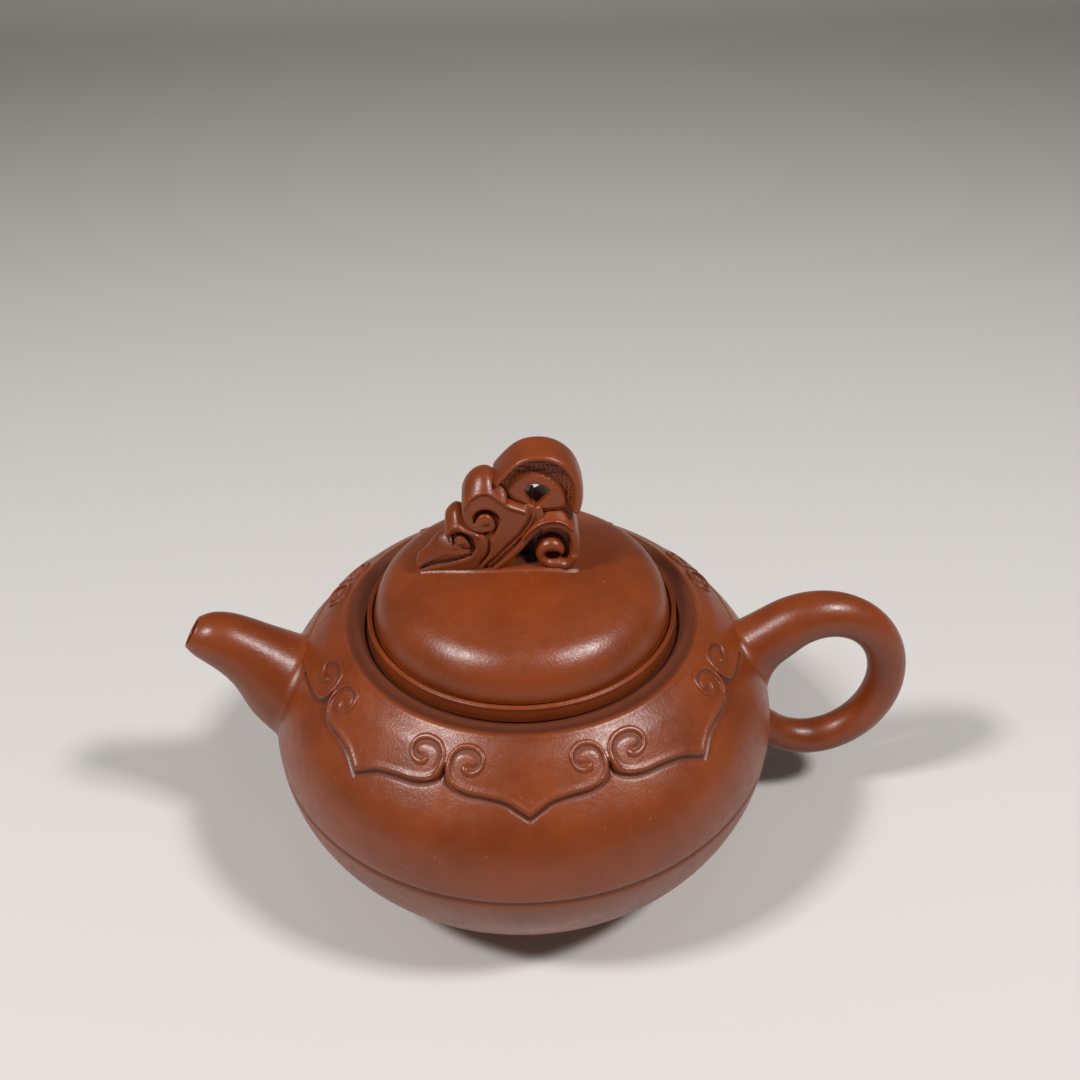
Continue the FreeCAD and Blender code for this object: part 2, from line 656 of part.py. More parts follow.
def knob(dome, vent):
    """Openwork cloud knob on top of the dome, each piece cut to sit against the ones before it."""
    top = DOME_TOP
    pad_top = f"{top} + root_height"
    root = slab(
        "root_form",
        [("-root_left", RIM_TOP), ("root_right", RIM_TOP), ("root_right", pad_top), ("-root_left", pad_top)],
        "knob_depth")
    tail_top = f"{pad_top} + tail_rise"
    tail = slab(
        "tail_form",
        [("-tail_reach", RIM_TOP), ("-root_left", RIM_TOP), ("-root_left", tail_top), ("-tail_reach", top)],
        "tail_depth",
        {2: ("tail_reach", 1)})
    stem_top = f"{top} + hood_z - hood_radius + hood_lip"
    stem = slab(
        "stem_form",
        [("large_x - stem_width / 2", pad_top), ("large_x + stem_width", pad_top),
         ("hood_x + hood_eye", stem_top), ("large_x", stem_top)],
        "hood_depth",
        {1: ("stem_bend", 1)})
    stack = [("knob_root", cut("root_vented", root, vent), root), ("knob_volute", *curl("volute", "knob_depth")),
             ("knob_curl_small", *curl("small", "hood_depth")), ("knob_curl_large", *curl("large", "curl_depth")),
             ("knob_hood", *hood()), ("knob_tail", tail, tail), ("knob_stem", stem, stem)]
    below = [dome]
    for name, form, plain in stack:
        keep(name, lift(cut(name + "_piece", form, *below)))
        below.append(plain)


def check_and_write():
    doc.recompute()
    for item in doc.Objects:
        if {"Invalid", "Error"} & set(item.State):
            raise RuntimeError(f"{item.Name} failed: {item.State}")
    for name, item in nodes.items():
        if item.Shape.isNull() or not item.Shape.isValid() or not item.Shape.Solids:
            raise RuntimeError(f"{name} has no valid solid")
        print(name, len(item.Shape.Solids), round(item.Shape.Volume, 1))
    for name, item in nodes.items():
        item.Shape.exportStep(f"parts/{name}.step")


pot_outside, pot_inside = pot_forms()
base, lower, upper, mouth = pot_wall(pot_outside, pot_inside)
groove = torus("waist_groove", "belly_radius", "waist_line / 2", "waist_height")
spout_form, (lower_bored, upper_bored) = spout_and_strainer(pot_outside, pot_inside, (lower, upper))
keep("base_disc", base)
keep("belly_lower", cut("lower_piece", lower_bored, groove))
keep("belly_upper", cut("upper_piece", upper_bored, groove))
keep("mouth_ring", mouth)
foot(pot_outside)
collar_and_scrolls(spout_form, handle(pot_outside))
knob(*lid())
check_and_write()
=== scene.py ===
"""Clay teapot with a cloud collar and an openwork cloud knob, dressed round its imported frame.

Lengths in the tables are millimetres in the frame's axes: the foot stands on
z = 0, the pot's axis is Z, the spout points to -X, the handle to +X and the
front is -Y. The knob's tables are measured from the top of the lid's dome.
"""
import math
from types import SimpleNamespace

import bpy
import numpy as np
from bpy.props import FloatProperty, FloatVectorProperty, IntProperty, PointerProperty
from mathutils import Matrix, Vector


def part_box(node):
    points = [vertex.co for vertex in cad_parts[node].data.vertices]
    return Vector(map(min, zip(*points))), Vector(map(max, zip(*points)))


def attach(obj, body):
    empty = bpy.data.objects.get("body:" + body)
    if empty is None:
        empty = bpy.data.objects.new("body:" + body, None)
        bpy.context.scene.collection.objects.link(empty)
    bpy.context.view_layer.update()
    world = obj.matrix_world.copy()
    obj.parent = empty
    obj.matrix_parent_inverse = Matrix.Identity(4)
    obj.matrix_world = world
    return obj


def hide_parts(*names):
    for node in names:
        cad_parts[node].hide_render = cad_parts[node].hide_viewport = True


bl_info = {
    "name": "Cloud Knob Teapot",
    "version": (1, 0, 0),
    "blender": (4, 5, 0),
    "location": "View3D > Sidebar > Teapot",
    "description": "Dresses the packed teapot frame with its clay pieces",
    "category": "Object",
}

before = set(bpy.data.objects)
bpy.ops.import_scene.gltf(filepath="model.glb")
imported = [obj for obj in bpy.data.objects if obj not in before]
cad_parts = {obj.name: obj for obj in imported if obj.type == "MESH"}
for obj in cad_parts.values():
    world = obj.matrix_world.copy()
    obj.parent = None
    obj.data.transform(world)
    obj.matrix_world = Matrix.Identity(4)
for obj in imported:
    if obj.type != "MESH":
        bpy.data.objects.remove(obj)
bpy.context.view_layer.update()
MM = 0.001


def edge(node, corner, axis):
    """One side of a node's box in millimetres: corner 0 is the lowest and 1 the highest."""
    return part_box(node)[corner][axis] / MM


def length(name, description, millimetres):
    """A length, given in millimetres and kept in metres."""
    return FloatProperty(name=name, description=description, default=millimetres * MM,
                         subtype="DISTANCE", unit="LENGTH", precision=5)


def angle(name, description, degrees):
    """An angle, given in degrees and kept in radians."""
    return FloatProperty(name=name, description=description, default=math.radians(degrees),
                         subtype="ANGLE", unit="ROTATION")


def colour(name, description, rgb):
    """A colour of three linear parts."""
    return FloatVectorProperty(name=name, description=description, default=rgb,
                               subtype="COLOR", size=3, min=0.0, max=1.0)


def amount(name, description, default, **limits):
    """A number with its limits or unit."""
    return FloatProperty(name=name, description=description, default=default, **limits)


def share(name, description, default):
    """A number from 0 to 1."""
    return amount(name, description, default, min=0.0, max=1.0, subtype="FACTOR")


class TeapotPotSizes(bpy.types.PropertyGroup):
    """Sizes of the pot's wall, foot and mouth."""
    belly_radius: length("Belly radius", "Widest radius of the belly", edge("belly_upper", 1, 1))
    waist_height: length("Waist height", "Height of the widest line", edge("belly_lower", 1, 2))
    wall: length("Wall", "Thickness of the pot wall", 3.2)
    lower_bend: length("Lower bend", "Radius of the lower wall's curve", 37.5)
    upper_bend: length("Upper bend", "Radius of the upper wall's curve", 26.0)
    shoulder_angle: angle("Shoulder angle", "Where the upper curve meets the shoulder", 41.5)
    slope_bend: length("Slope bend", "Radius of the shoulder's slow curve", 100.0)
    slope_angle: angle("Slope angle", "Angle of the shoulder's slow curve", 10.0)
    crest_round: length("Crest round", "Radius of the crest round the lid", 1.6)
    crest_angle: angle("Crest angle", "Angle that the crest turns through", 75.0)
    ledge_height: length("Ledge height", "Height of the ledge that carries the lid", 65.43)
    gutter_height: length("Gutter height", "Height of the gutter between crest and lid", 66.4)
    gutter_radius: length("Gutter radius", "Inner edge of the gutter", 38.3)
    mouth_radius: length("Mouth radius", "Radius of the mouth", 33.4)
    mouth_seam: length("Mouth seam", "Height of the seam under the mouth ring", edge("mouth_ring", 0, 2))
    base_lift: length("Base lift", "Underside of the base above the table", edge("base_disc", 0, 2))
    base_top: length("Base top", "Inside face of the base", edge("base_disc", 1, 2))
    foot_radius: length("Foot radius", "Outside radius of the foot ring", edge("foot_ring", 1, 1))
    foot_width: length("Foot width", "Width of the foot ring", 5.0)
    line_height: length("Line height", "Height of the incised line round the belly", 36.2)
    line_width: length("Line width", "Half width of the incised line", 0.75)
    line_depth: length("Line depth", "Depth of the incised line", 0.34)


class TeapotReliefSizes(bpy.types.PropertyGroup):
    """Sizes of the cloud collar and its spiral threads."""
    panels: IntProperty(name="Cloud points", description="Cloud points round the collar",
                        default=8, min=4, max=12)
    inner_radius: length("Inner radius", "Where the collar runs out at the crest", 43.3)
    thickness: length("Thickness", "Height of the collar above the shoulder", 0.60)
    lip_width: length("Lip width", "Width of the slanted edge", 0.85)
    lip_rise: length("Lip rise", "Bead along the edge above the collar", 0.20)
    groove: length("Groove", "Depth of the lines cut round the collar", 0.20)
    trough: length("Trough", "Depth to which the ground is worked down at the collar's edge", 0.55)
    trough_reach: length("Trough reach", "How far from the edge the trough runs out", 3.6)
    thread_width: length("Thread width", "Half width of a spiral thread", 0.55)
    thread_rise: length("Thread rise", "Height of a spiral thread", 0.42)


class TeapotSpoutSizes(bpy.types.PropertyGroup):
    """Sizes of the spout and its bore."""
    root_radius: length("Root radius", "Spout radius at the belly", 11.8)
    neck_radius: length("Neck radius", "Spout radius half way along", 8.6)
    tip_radius: length("Tip radius", "Spout radius at its tip", 4.8)
    bore_root: length("Bore root", "Bore radius at the root", 8.0)
    bore_tip: length("Bore tip", "Bore radius at the tip", 3.4)
    lip_angle: angle("Lip angle", "Tip of the spout's end face towards the sky", 20.0)
    lip_round: length("Lip round", "Drawing in of the outside at the spout's end", 0.75)
    blend: length("Blend", "Reach of the clay smoothed onto the belly", 2.6)


class TeapotHandleSizes(bpy.types.PropertyGroup):
    """Sizes of the ring handle."""
    loop_x: length("Loop centre", "Centre of the loop from the pot's axis", 76.0)
    loop_z: length("Loop height", "Height of the loop's centre", 41.4)
    reach: length("Loop reach", "Half width of the loop's middle line", 18.3)
    rise: length("Loop rise", "Half height of the loop's middle line", 21.1)
    lead: length("Lead", "Straight run of each end into the belly", 11.0)
    top_angle: angle("Upper end", "Where the loop's curve starts", 125.0)
    low_angle: angle("Lower end", "Where the loop's curve ends", -125.0)
    root: length("Upper joint", "Thickness radius at the upper joint", 7.8)
    grip: length("Grip", "Thickness radius at the grip", 4.8)
    tail: length("Lower joint", "Thickness radius at the lower joint", 4.3)
    blend: length("Blend", "Reach of the clay smoothed onto the belly", 2.2)
    inner_blend: length("Inner blend", "Further reach under the upper joint", 6.5)


class TeapotLidSizes(bpy.types.PropertyGroup):
    """Sizes of the lid's dome, rim and flange."""
    seat: length("Seat", "Underside of the lid rim", edge("lid_rim", 0, 2))
    rim_radius: length("Rim radius", "Outside radius of the lid rim", edge("lid_rim", 1, 1))
    rim_height: length("Rim height", "Height of the lid rim", 4.2)
    bead: length("Bead", "Radius of the bead on the rim", 0.62)
    dome_radius: length("Dome radius", "Radius of the dome where it leaves the rim", 35.5)
    dome_bend: length("Dome bend", "Radius of the dome's shoulder", 11.0)
    dome_angle: angle("Dome angle", "Angle of the dome's shoulder", 70.0)
    dome_top: length("Dome top", "Height of the top of the dome", 84.85)
    wall: length("Wall", "Thickness of the dome", 3.0)
    flange_radius: length("Flange radius", "Outside radius of the flange", edge("lid_flange", 1, 1))
    flange_wall: length("Flange wall", "Thickness of the flange", 2.8)
    flange_low: length("Flange low", "Lower edge of the flange", edge("lid_flange", 0, 2))
    vent: length("Vent", "Radius of the vent hole", 1.3)
    vent_x: length("Vent place", "Middle of the vent from the pot's axis", 1.0)


class TeapotKnobSizes(bpy.types.PropertyGroup):
    """How the cloud knob is modelled."""
    grain: length("Grain", "Fineness of the knob's skin", 0.26)
    thinning: share("Thinning", "Loss of half depth for each unit of height", 0.055)
    crown: length("Crown", "Rise of a curl from its face to its middle", 3.0)
    edge_round: length("Edge round", "Rounding of a carved edge", 0.55)
    groove: length("Groove", "Depth of the carved grooves", 2.1)
    roundness: amount("Roundness", "Squareness of a strand: 2 is oval", 3.0, min=1.5, max=6.0)
    hood_roundness: amount("Hood roundness", "Squareness of the hood: 2 is oval", 2.6, min=1.5, max=6.0)


class TeapotFinish(bpy.types.PropertyGroup):
    """Colours and polish of the clay."""
    clay: colour("Clay", "Colour of the fired clay", (0.228, 0.0425, 0.0070))
    clay_dark: colour("Dark clay", "Darker mottling of the clay", (0.168, 0.0295, 0.0048))
    clay_pale: colour("Pale grains", "Sand grains in the clay", (0.50, 0.26, 0.13))
    bare: colour("Bare clay", "Colour where the clay isn't burnished", (0.27, 0.062, 0.017))
    polish: share("Roughness", "Roughness of the burnished clay", 0.33)
    bare_rough: share("Bare roughness", "Roughness of the bare clay", 0.62)


class TeapotStage(bpy.types.PropertyGroup):
    """Floor, lamps and camera."""
    floor: colour("Floor", "Colour of the floor", (0.66, 0.63, 0.60))
    sky: colour("Sky", "Colour of the soft light all round", (0.90, 0.87, 0.83))
    sky_level: amount("Sky level", "Strength of the light all round", 0.12, min=0.0)
    lamp_power: amount("Lamp power", "Power of each soft lamp", 5.2, min=0.0, subtype="POWER", unit="POWER")
    camera_place: FloatVectorProperty(name="Camera", description="Place of the camera", size=3,
                                      subtype="XYZ", unit="LENGTH", default=(-0.0046, -0.22005, 0.2440))
    camera_turn: angle("Turn", "Way the camera faces, clockwise from +Y", 2.41)
    camera_tilt: angle("Tilt", "Way the camera looks down", 35.26)
    camera_roll: angle("Roll", "Tip of the camera to its side", -0.71)
    lens: amount("Lens", "Focal length on a 36 mm frame", 38.33, min=10.0, subtype="DISTANCE_CAMERA")


GROUPS = {
    "teapot_pot": TeapotPotSizes,
    "teapot_relief": TeapotReliefSizes,
    "teapot_spout": TeapotSpoutSizes,
    "teapot_handle": TeapotHandleSizes,
    "teapot_lid": TeapotLidSizes,
    "teapot_knob": TeapotKnobSizes,
    "teapot_finish": TeapotFinish,
    "teapot_stage": TeapotStage,
}


def measures(group):
    """A group's values by name, with its lengths in millimetres."""
    found = {}
    for name in type(group).__annotations__:
        lengths = group.bl_rna.properties[name].subtype == "DISTANCE"
        found[name] = getattr(group, name) / MM if lengths else getattr(group, name)
    return SimpleNamespace(**found)


# Lines and outlines

def evenly(line, count):
    """Evenly spaced points along a line of two columns; further columns follow along."""
    along = np.concatenate([[0], np.cumsum(np.hypot(*np.diff(line[:, :2], axis=0).T))])
    places = np.linspace(0, along[-1], count)
    return np.stack([np.interp(places, along, column) for column in line.T], -1)


def smooth_line(points, count):
    """Even points along a smooth curve through the given ones; further columns follow along."""
    points = np.asarray(points, float)
    ends = np.vstack([2 * points[0] - points[1], points, 2 * points[-1] - points[-2]])
    part = np.linspace(0, 1, 24, endpoint=False)[:, None]
    runs = []
    for before, start, end, after in zip(ends[:-3], ends[1:-2], ends[2:-1], ends[3:]):
        runs.append(0.5 * (2 * start + (end - before) * part
                           + (2 * before - 5 * start + 4 * end - after) * part ** 2
                           + (3 * start - before - 3 * end + after) * part ** 3))
    return evenly(np.vstack(runs + [points[-1:]]), count)


def arc(centre, radius, first, last, count):
    """Points of a circle between two angles in degrees."""
    turn = np.radians(np.linspace(first, last, count))
    return np.stack([centre[0] + radius * np.cos(turn), centre[1] + radius * np.sin(turn)], -1)


def unit(vectors):
    """Vectors brought to a length of one."""
    return vectors / np.linalg.norm(vectors, axis=-1, keepdims=True)


def left_of(line):
    """Directions square to a plan line, on its left."""
    way = unit(np.gradient(line, axis=0))
    return np.stack([-way[:, 1], way[:, 0]], -1)


def nearest(points, line, batch=20000):
    """Distance from plan points to a line, and the place of the nearest spot counted in points."""
    start, run = line[:-1], np.diff(line, axis=0)
    size = np.maximum((run ** 2).sum(-1), 1e-12)
    far, place = np.empty(len(points)), np.empty(len(points))
    for low in range(0, len(points), batch):
        some = points[low:low + batch]
        part = np.clip((((some[:, None] - start) * run).sum(-1)) / size, 0, 1)
        gap = some[:, None] - start - part[..., None] * run
        square = (gap ** 2).sum(-1)
        best = square.argmin(1)
        rows = np.arange(len(some))
        far[low:low + batch] = np.sqrt(square[rows, best])
        place[low:low + batch] = best + part[rows, best]
    return far, place


def told_apart(first, second):
    """The different pairs of two arrays' values, and where each pair is found among them."""
    pairs = np.round(np.stack([first.ravel(), second.ravel()], -1), 6)
    alike, back = np.unique(pairs, axis=0, return_inverse=True)
    return alike, back.reshape(first.shape)


# Meshes

# Depth in millimetres at which a broad hollow gets its full painted shade
FULL_HOLLOW = 0.28
# Share of the way to its neighbours that a point goes in a round of smoothing, and of levelling out
SMOOTH_SHARE = 0.5
LEVEL_SHARE = 0.7


def grid_faces(rows, columns, close_rows=False, close_columns=True):
    """Quads over a grid of points kept row by row."""
    row = np.arange(rows if close_rows else rows - 1)
    column = np.arange(columns if close_columns else columns - 1)
    row, column = np.meshgrid(row, column, indexing="ij")
    here, above = row * columns, (row + 1) % rows * columns
    beside = (column + 1) % columns
    return np.stack([here + column, here + beside, above + beside, above + column], -1).reshape(-1, 4)


def tube_faces(rows, sides):
    """Quads over a tube with an even number of sides, and across both of its ends."""
    def cap(ring):
        back = ring[::-1]
        half = sides // 2
        return np.stack([ring[:half - 1], ring[1:half], back[1:half], back[:half - 1]], -1)

    first = np.arange(sides)
    last = first + (rows - 1) * sides
    return np.vstack([grid_faces(rows, sides), cap(first)[:, ::-1], cap(last)])


def spun(outline, steps):
    """Points of an outline of radii and heights turned about Z, with azimuth 0 at the front."""
    outline = np.asarray(outline, float)
    turn = np.linspace(0, 2 * np.pi, steps, endpoint=False)
    return np.stack([outline[:, :1] * np.sin(turn), -outline[:, :1] * np.cos(turn),
                     np.repeat(outline[:, 1:2], steps, 1)], -1)


def neighbours(points, faces):
    """Each point's pull towards the middle of the points round it."""
    first = faces.ravel()
    second = np.roll(faces, -1, axis=1).ravel()
    ends = np.concatenate([first, second])
    others = np.concatenate([second, first])
    number = np.maximum(np.bincount(ends, minlength=len(points)), 1)
    middle = np.stack([np.bincount(ends, points[others, axis], len(points)) for axis in range(3)], -1)
    return middle / number[:, None] - points


def eased(points, faces, rounds):
    """Points smoothed towards their neighbours and back, so that the form keeps its size."""
    for _ in range(rounds):
        points = points + SMOOTH_SHARE * neighbours(points, faces)
        points = points - SMOOTH_SHARE * neighbours(points, faces)
    return points


def hollows(points, faces, normals, rounds):
    """How hollow each point lies, from 0 to 1, as the share of painted shade it gets: in sharp bends, and
    in broad hollows over some rounds.
    """
    bend = (neighbours(points, faces) * normals).sum(-1)
    reach = np.maximum(np.linalg.norm(np.roll(points, 1, 0) - points, axis=1), 1e-6)
    hollow = np.clip(bend / np.median(reach), 0, 1)
    level = points
    for _ in range(rounds):
        level = level + LEVEL_SHARE * neighbours(level, faces)
    depth = ((level - points) * normals).sum(-1)
    return np.maximum(hollow, np.clip(depth / FULL_HOLLOW, 0, 1))


def add_piece(name, points, faces, body, nodes, finish="burnished_clay", painted_shade=None, crease=50, rounds=0):
    """A mesh piece that rides on a body and stands for CAD nodes; painted shade darkens its hollows and
    wherever more is given.
    """
    points = np.asarray(points, float).reshape(-1, 3)
    mesh = bpy.data.meshes.new(name)
    mesh.vertices.add(len(points))
    mesh.vertices.foreach_set("co", (points * MM).ravel())
    mesh.loops.add(faces.size)
    mesh.loops.foreach_set("vertex_index", faces.ravel().astype(np.int32))
    mesh.polygons.add(len(faces))
    mesh.polygons.foreach_set("loop_start", np.arange(0, faces.size, faces.shape[1], dtype=np.int32))
    mesh.update(calc_edges=True)
    if mesh.validate():
        raise RuntimeError(f"{name} has faces that don't hold together")
    mesh.shade_smooth()
    mesh.set_sharp_from_angle(angle=math.radians(crease))
    normals = np.empty(len(points) * 3, np.float32)
    mesh.vertices.foreach_get("normal", normals)
    # Painted shade: sharp bends and broad hollows are darkened through the hollow attribute
    hollow = hollows(points, faces, normals.reshape(-1, 3), rounds)
    if painted_shade is not None:
        hollow = np.maximum(hollow, painted_shade.ravel())
    layer = mesh.attributes.new("hollow", "FLOAT", "POINT")
    layer.data.foreach_set("value", hollow.astype(np.float32))
    mesh.materials.append(finish_named(finish))
    piece = bpy.data.objects.new(name, mesh)
    bpy.context.scene.collection.objects.link(piece)
    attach(piece, body)
    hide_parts(*nodes)


def ring_piece(name, outline, body, nodes, steps, finish="burnished_clay", painted_shade=None):
    """A closed ring of revolution, with painted shade given along its outline."""
    faces = grid_faces(len(outline), steps, close_rows=True)
    if painted_shade is not None:
        painted_shade = np.repeat(painted_shade[:, None], steps, 1)
    add_piece(name, spun(outline, steps), faces, body, nodes, finish, painted_shade)


def disc_piece(name, outline, body, nodes, steps, finish):
    """A disc of revolution whose outline starts and ends on the axis, with a fan in each face."""
    points = spun(outline, steps).reshape(-1, 3)
    last = (len(outline) - 1) * steps
    low_row, high_row = np.arange(steps) + steps, np.arange(steps) + last - steps
    low = np.stack([np.zeros(steps, int), np.roll(low_row, -1), low_row], -1)
    high = np.stack([np.full(steps, last), high_row, np.roll(high_row, -1)], -1)
    quads = grid_faces(len(outline), steps)[steps:-steps]
    faces = np.vstack([quads[:, [0, 1, 2]], quads[:, [0, 2, 3]], low, high])
    used, packed = np.unique(faces, return_inverse=True)
    add_piece(name, points[used], packed.reshape(-1, 3), body, nodes, finish)


# Clay finishes

# Noises in the clay: scale for each metre, detail and roughness
MOTTLE = (70.0, 4.0, 0.55)
SPECKLE = (2600.0, 2.0, 0.6)
UNEVEN_POLISH = (420.0, 3.0, 0.6)
FINE_GRAIN = (1500.0, 3.0, 0.62)
HAND_MARKS = (95.0, 2.0, 0.5)
# Cells of sand for each metre, and how strongly a grain shows
SAND_SCALE = 900.0
SAND_SHOWS = 0.20
# Strength, and height in metres, of the bumps from the grain and from the maker's hand
GRAIN_BUMP = (0.5, 0.00012)
HAND_BUMP = (0.30, 0.0005)


def clay_finish(name, base, dark, pale, rough):
    """Fired clay: mottled, sandy, with painted shade in its hollows, and a fine grain under the polish."""
    material = bpy.data.materials.new(name)
    material.use_nodes = True
    tree = material.node_tree

    def node(kind, inputs, **settings):
        """Outputs of a new node, with its inputs linked to outputs or set to values."""
        made = tree.nodes.new(f"ShaderNode{kind}")
        for setting, value in settings.items():
            setattr(made, setting, value)
        for socket, value in inputs.items():
            if isinstance(value, bpy.types.NodeSocket):
                tree.links.new(value, made.inputs[socket])
            else:
                made.inputs[socket].default_value = value
        return made.outputs

    def noise(scale, detail, roughness):
        values = {"Vector": place, "Scale": scale, "Detail": detail, "Roughness": roughness}
        return node("TexNoise", values)["Fac"]

    def ranged(value, low, high, to_low=0.0, to_high=1.0):
        values = {"Value": value, "From Min": low, "From Max": high, "To Min": to_low, "To Max": to_high}
        return node("MapRange", values)["Result"]

    def combined(operation, first, second):
        return node("Math", {0: first, 1: second}, operation=operation)["Value"]

    def blended(factor, first, second):
        return node("Mix", {"Factor": factor, "A": first, "B": second}, data_type="RGBA")["Result"]

    def bumped(height, strength, distance, **below):
        values = {"Height": height, "Strength": strength, "Distance": distance, **below}
        return node("Bump", values)["Normal"]

    place = node("TexCoord", {})["Object"]
    tone = blended(ranged(noise(*MOTTLE), 0.34, 0.68), base, dark)
    grains = node("TexVoronoi", {"Vector": place, "Scale": SAND_SCALE})
    rare = ranged(node("SeparateColor", {"Color": grains["Color"]})["Red"], 0.965, 0.99)
    near = ranged(grains["Distance"], 0.34, 0.12)
    sand = ranged(combined("MULTIPLY", rare, near), 0.0, 1.0, 0.0, SAND_SHOWS)
    speckle = ranged(noise(*SPECKLE), 0.30, 0.46, 0.34, 0.0)
    speckled = blended(speckle, blended(sand, tone, pale), dark)
    # Painted shade: where the hollow attribute is high the colour goes towards half the dark clay
    hollow = node("Attribute", {}, attribute_name="hollow")["Fac"]
    shade_colour = (*(0.5 * part for part in dark[:3]), 1.0)
    uneven = ranged(noise(*UNEVEN_POLISH), 0.3, 0.7, rough - 0.05, rough + 0.07)
    marks = bumped(noise(*HAND_MARKS), *HAND_BUMP)
    looks = {
        "Base Color": blended(ranged(hollow, 0.05, 0.9, 0.0, 0.85), speckled, shade_colour),
        "Roughness": combined("ADD", uneven, ranged(hollow, 0.1, 0.9, 0.0, 0.35)),
        "Normal": bumped(noise(*FINE_GRAIN), *GRAIN_BUMP, Normal=marks),
    }
    shader = tree.nodes["Principled BSDF"]
    shader.inputs["Specular IOR Level"].default_value = 0.5
    for socket, look in looks.items():
        tree.links.new(look, shader.inputs[socket])
    return material


def finish_named(name):
    """The clay finish of that name, made on first use."""
    look = bpy.context.scene.teapot_finish
    tones = {"burnished_clay": (look.clay, look.clay_dark, look.polish),
             "bare_clay": (look.bare, look.clay, look.bare_rough)}
    *colours, rough = tones[name]
    base, dark, pale = ((*rgb, 1.0) for rgb in (*colours, look.clay_pale))
    return bpy.data.materials.get(name) or clay_finish(name, base, dark, pale, rough)


# Stage

# Floor in millimetres: its front edge, the end of its flat run, its half width, and the radius of the sweep
FLOOR_FRONT = -1200
FLOOR_BACK = 1000
FLOOR_HALF = 1600
FLOOR_SWEEP = 260
# Soft lamps: name and place in metres; their size, and the spot that they face
LAMPS = [("lamp_left", (-0.48, -0.25, 0.74)), ("lamp_right", (0.45, -0.25, 0.75))]
LAMP_SIZE = (0.13, 0.11)
LAMP_AIM = (0, 0, 0.05)


def add_floor(scene, look):
    """Pale floor that sweeps up behind."""
    flat_rows, columns = 19, 12
    curve = np.radians(np.linspace(8, 90, 12))
    flat = np.linspace(FLOOR_FRONT, FLOOR_BACK, flat_rows)
    depth = np.concatenate([flat, FLOOR_BACK + FLOOR_SWEEP * np.sin(curve)])
    rise = np.concatenate([np.zeros(flat_rows), FLOOR_SWEEP - FLOOR_SWEEP * np.cos(curve)])
    across = np.linspace(-FLOOR_HALF, FLOOR_HALF, columns)
    points = np.stack(np.broadcast_arrays(across[None], depth[:, None], rise[:, None]), -1).reshape(-1, 3)
    mesh = bpy.data.meshes.new("studio_floor")
    faces = grid_faces(len(depth), columns, close_columns=False)
    mesh.from_pydata((points * MM).tolist(), [], faces.tolist())
    mesh.shade_smooth()
    paper = bpy.data.materials.new("pale_paper")
    paper.use_nodes = True
    shader = paper.node_tree.nodes["Principled BSDF"]
    shader.inputs["Base Color"].default_value = (*look.floor, 1.0)
    shader.inputs["Roughness"].default_value = 0.75
    shader.inputs["Specular IOR Level"].default_value = 0.25
    mesh.materials.append(paper)
    floor = bpy.data.objects.new("studio_floor", mesh)
    scene.collection.objects.link(floor)


def add_lights(scene, look):
    """Two soft lamps, and a dim light all round."""
    for name, place in LAMPS:
        light = bpy.data.lights.new(name, "AREA")
        light.shape = "RECTANGLE"
        light.size, light.size_y = LAMP_SIZE
        light.energy = look.lamp_power
        lamp = bpy.data.objects.new(name, light)
        lamp.location = place
        lamp.rotation_euler = (Vector(LAMP_AIM) - Vector(place)).to_track_quat("-Z", "Y").to_euler()
        scene.collection.objects.link(lamp)
    world = bpy.data.worlds.new("soft_room")
    world.use_nodes = True
    sky = world.node_tree.nodes["Background"]
    sky.inputs["Color"].default_value = (*look.sky, 1.0)
    sky.inputs["Strength"].default_value = look.sky_level
    scene.world = world
    scene.view_settings.view_transform = "Standard"


def add_camera(scene, look):
    """Camera at the photograph's viewing angle."""
    data = bpy.data.cameras.new("photo_camera")
    data.sensor_width = 36.0
    data.lens = look.lens
    camera = bpy.data.objects.new("photo_camera", data)
    level = Matrix.Rotation(-look.camera_turn, 3, "Z")
    tilt = Matrix.Rotation(math.pi / 2 - look.camera_tilt, 3, "X")
    roll = Matrix.Rotation(look.camera_roll, 3, "Z")
    camera.matrix_world = Matrix.Translation(look.camera_place) @ (level @ tilt @ roll).to_4x4()
    scene.collection.objects.link(camera)
    scene.camera = camera


class TEAPOT_OT_stage(bpy.types.Operator):
    """Pale floor, soft lamps, light all round and the camera."""
    bl_idname = "teapot.stage"
    bl_label = "Set the Stage"

    def execute(self, context):
        for add in (add_floor, add_lights, add_camera):
            add(context.scene, context.scene.teapot_stage)
        return {"FINISHED"}


# The pot's outside

def shoulder_slope(pot):
    """Centre of the shoulder's slow curve, in radius and height, and the angle in degrees where it ends."""
    back = pot.slope_bend - pot.upper_bend
    centre = (pot.belly_radius - pot.upper_bend - back * math.cos(pot.shoulder_angle),
              pot.waist_height - back * math.sin(pot.shoulder_angle))
    return centre, math.degrees(pot.shoulder_angle) + math.degrees(pot.slope_angle)


def pot_outside(pot, count=400):
    """The outside from the lower wall's foot to the crest: radii with heights, and outward directions."""
    slope, slope_end = shoulder_slope(pot)
    shoulder = math.degrees(pot.shoulder_angle)
    foot_angle = -math.degrees(math.asin((pot.waist_height - pot.base_lift) / pot.lower_bend))
    runs = [((pot.belly_radius - pot.lower_bend, pot.waist_height), pot.lower_bend, foot_angle, 0.0),
            ((pot.belly_radius - pot.upper_bend, pot.waist_height), pot.upper_bend, 0.0, shoulder),
            (slope, pot.slope_bend, shoulder, slope_end)]
    spots = [arc(centre, radius, first, last, count) for centre, radius, first, last in runs]
    ways = [arc((0, 0), 1.0, first, last, count) for centre, radius, first, last in runs]
    return np.vstack(spots), np.vstack(ways)


